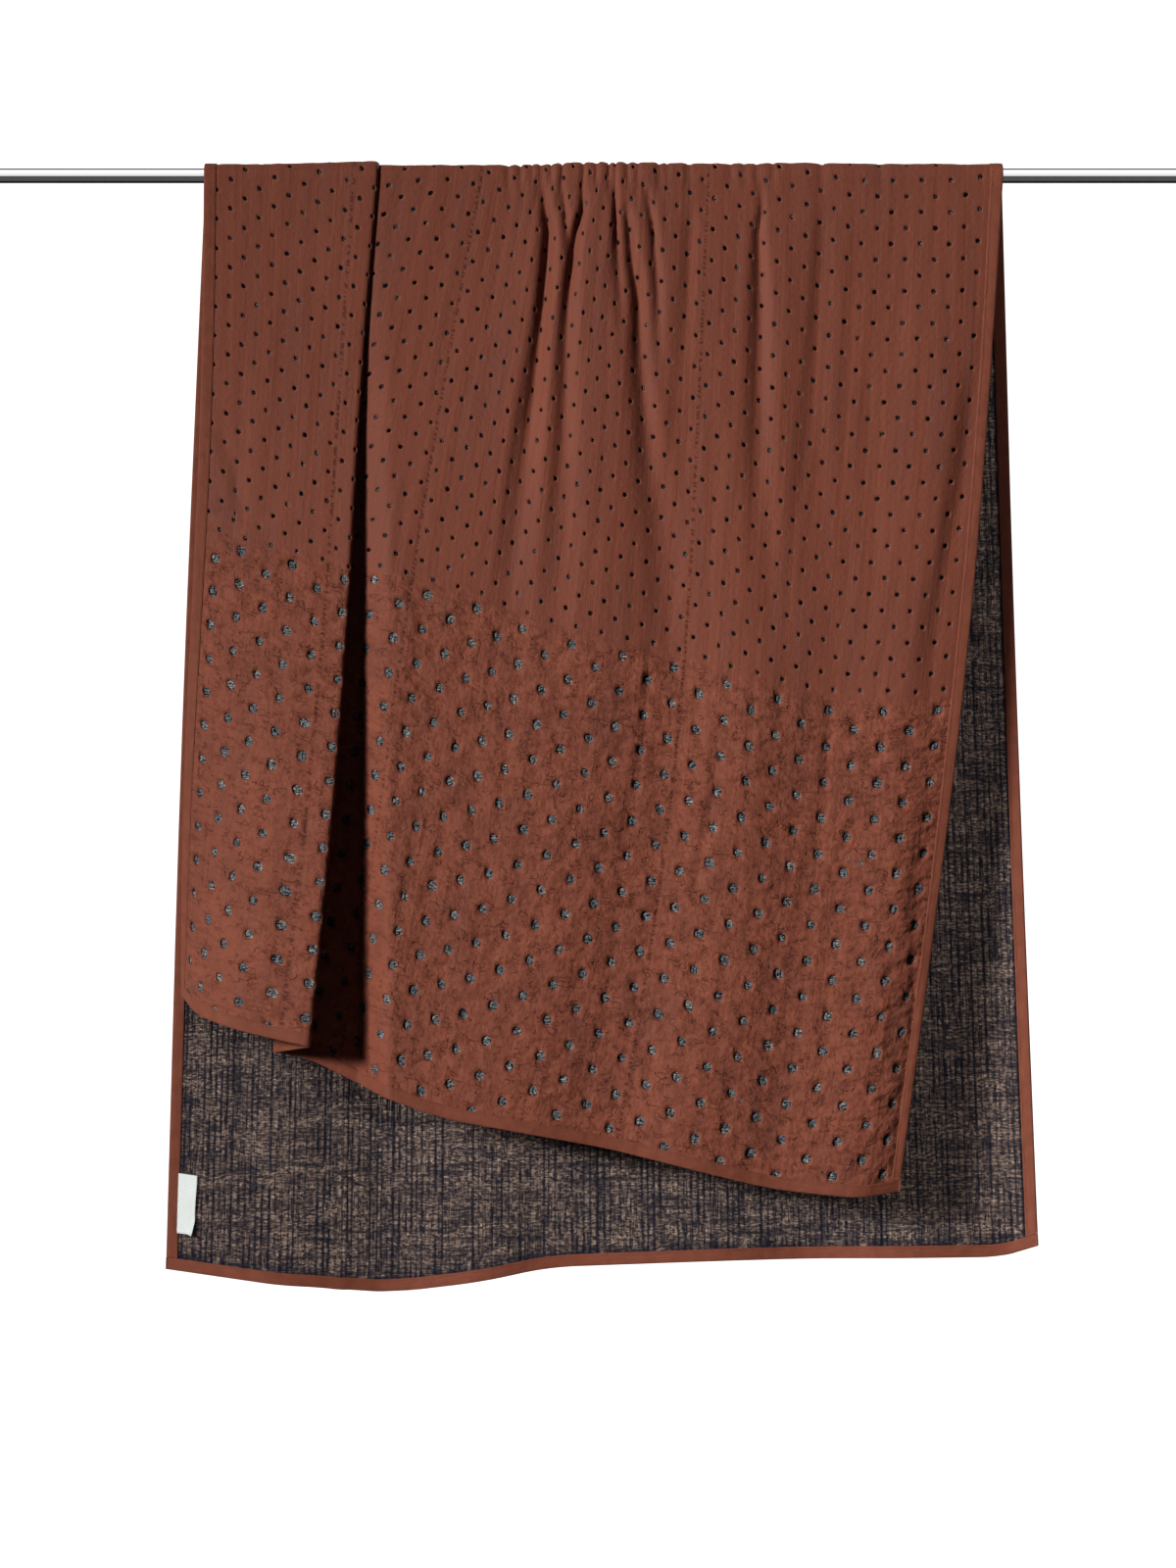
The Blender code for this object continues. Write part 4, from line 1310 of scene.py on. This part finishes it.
class THROW_OT_stage(bpy.types.Operator):
    """Set the floor, the soft studio light and the camera"""

    bl_idname = "throw.stage"
    bl_label = "Stage"

    def execute(self, context):
        settings = context.scene.throw_stage
        scene = context.scene
        clear_selection()
        place = (0, 0, settings.floor_height)
        bpy.ops.mesh.primitive_plane_add(size=settings.floor_size, location=place)
        floor = context.active_object
        floor.name = "floor"
        pale = Finish("pale floor")
        pale.feed(pale.shader.inputs, {"Base Color": (0.9, 0.9, 0.9, 1), "Roughness": 0.9})
        floor.data.materials.append(pale.material)
        floor.visible_glossy = False

        world = bpy.data.worlds.new("studio")
        scene.world = world
        world.use_nodes = True
        studio_light(world, settings.room_light)
        for row in LIGHTS:
            add_light(row, getattr(settings, row.setting))

        lens = bpy.data.cameras.new("camera")
        lens.lens = lens.sensor_width / 2 / (settings.frame_height / 2 / settings.camera_distance)
        camera = bpy.data.objects.new("camera", lens)
        camera.location = (0, -settings.camera_distance, settings.frame_centre)
        camera.rotation_euler = (math.radians(90), 0, 0)
        scene.collection.objects.link(camera)
        scene.camera = camera
        scene.view_settings.view_transform = "Standard"
        scene.view_settings.look = "Medium High Contrast"
        return {"FINISHED"}


class THROW_PT_panel(bpy.types.Panel):
    bl_label = "Throw blanket"
    bl_idname = "THROW_PT_panel"
    bl_space_type = "VIEW_3D"
    bl_region_type = "UI"
    bl_category = "Throw"

    def draw(self, context):
        layout = self.layout
        for group, kind in SETTINGS:
            box = layout.box()
            for key in kind.__annotations__:
                box.prop(getattr(context.scene, group), key)
        for operator in OPERATORS:
            layout.operator(operator.bl_idname)


SETTINGS = (
    ("throw_face", ThrowFaceSettings),
    ("throw_backing", ThrowBackingSettings),
    ("throw_binding", ThrowBindingSettings),
    ("throw_stage", ThrowStageSettings),
)
OPERATORS = (
    THROW_OT_face,
    THROW_OT_backing,
    THROW_OT_bindings,
    THROW_OT_label,
    THROW_OT_rod,
    THROW_OT_stage,
)


def register():
    for name, group in SETTINGS:
        bpy.utils.register_class(group)
        setattr(bpy.types.Scene, name, bpy.props.PointerProperty(type=group))
    for kind in (*OPERATORS, THROW_PT_panel):
        bpy.utils.register_class(kind)


def unregister():
    for kind in (THROW_PT_panel, *reversed(OPERATORS)):
        bpy.utils.unregister_class(kind)
    for name, group in reversed(SETTINGS):
        delattr(bpy.types.Scene, name)
        bpy.utils.unregister_class(group)


def main():
    register()
    clear_selection()
    bpy.ops.throw.face()
    bpy.ops.throw.backing()
    bpy.ops.throw.bindings()
    bpy.ops.throw.label()
    bpy.ops.throw.rod()
    bpy.ops.throw.stage()


if __name__ == "__main__":
    main()
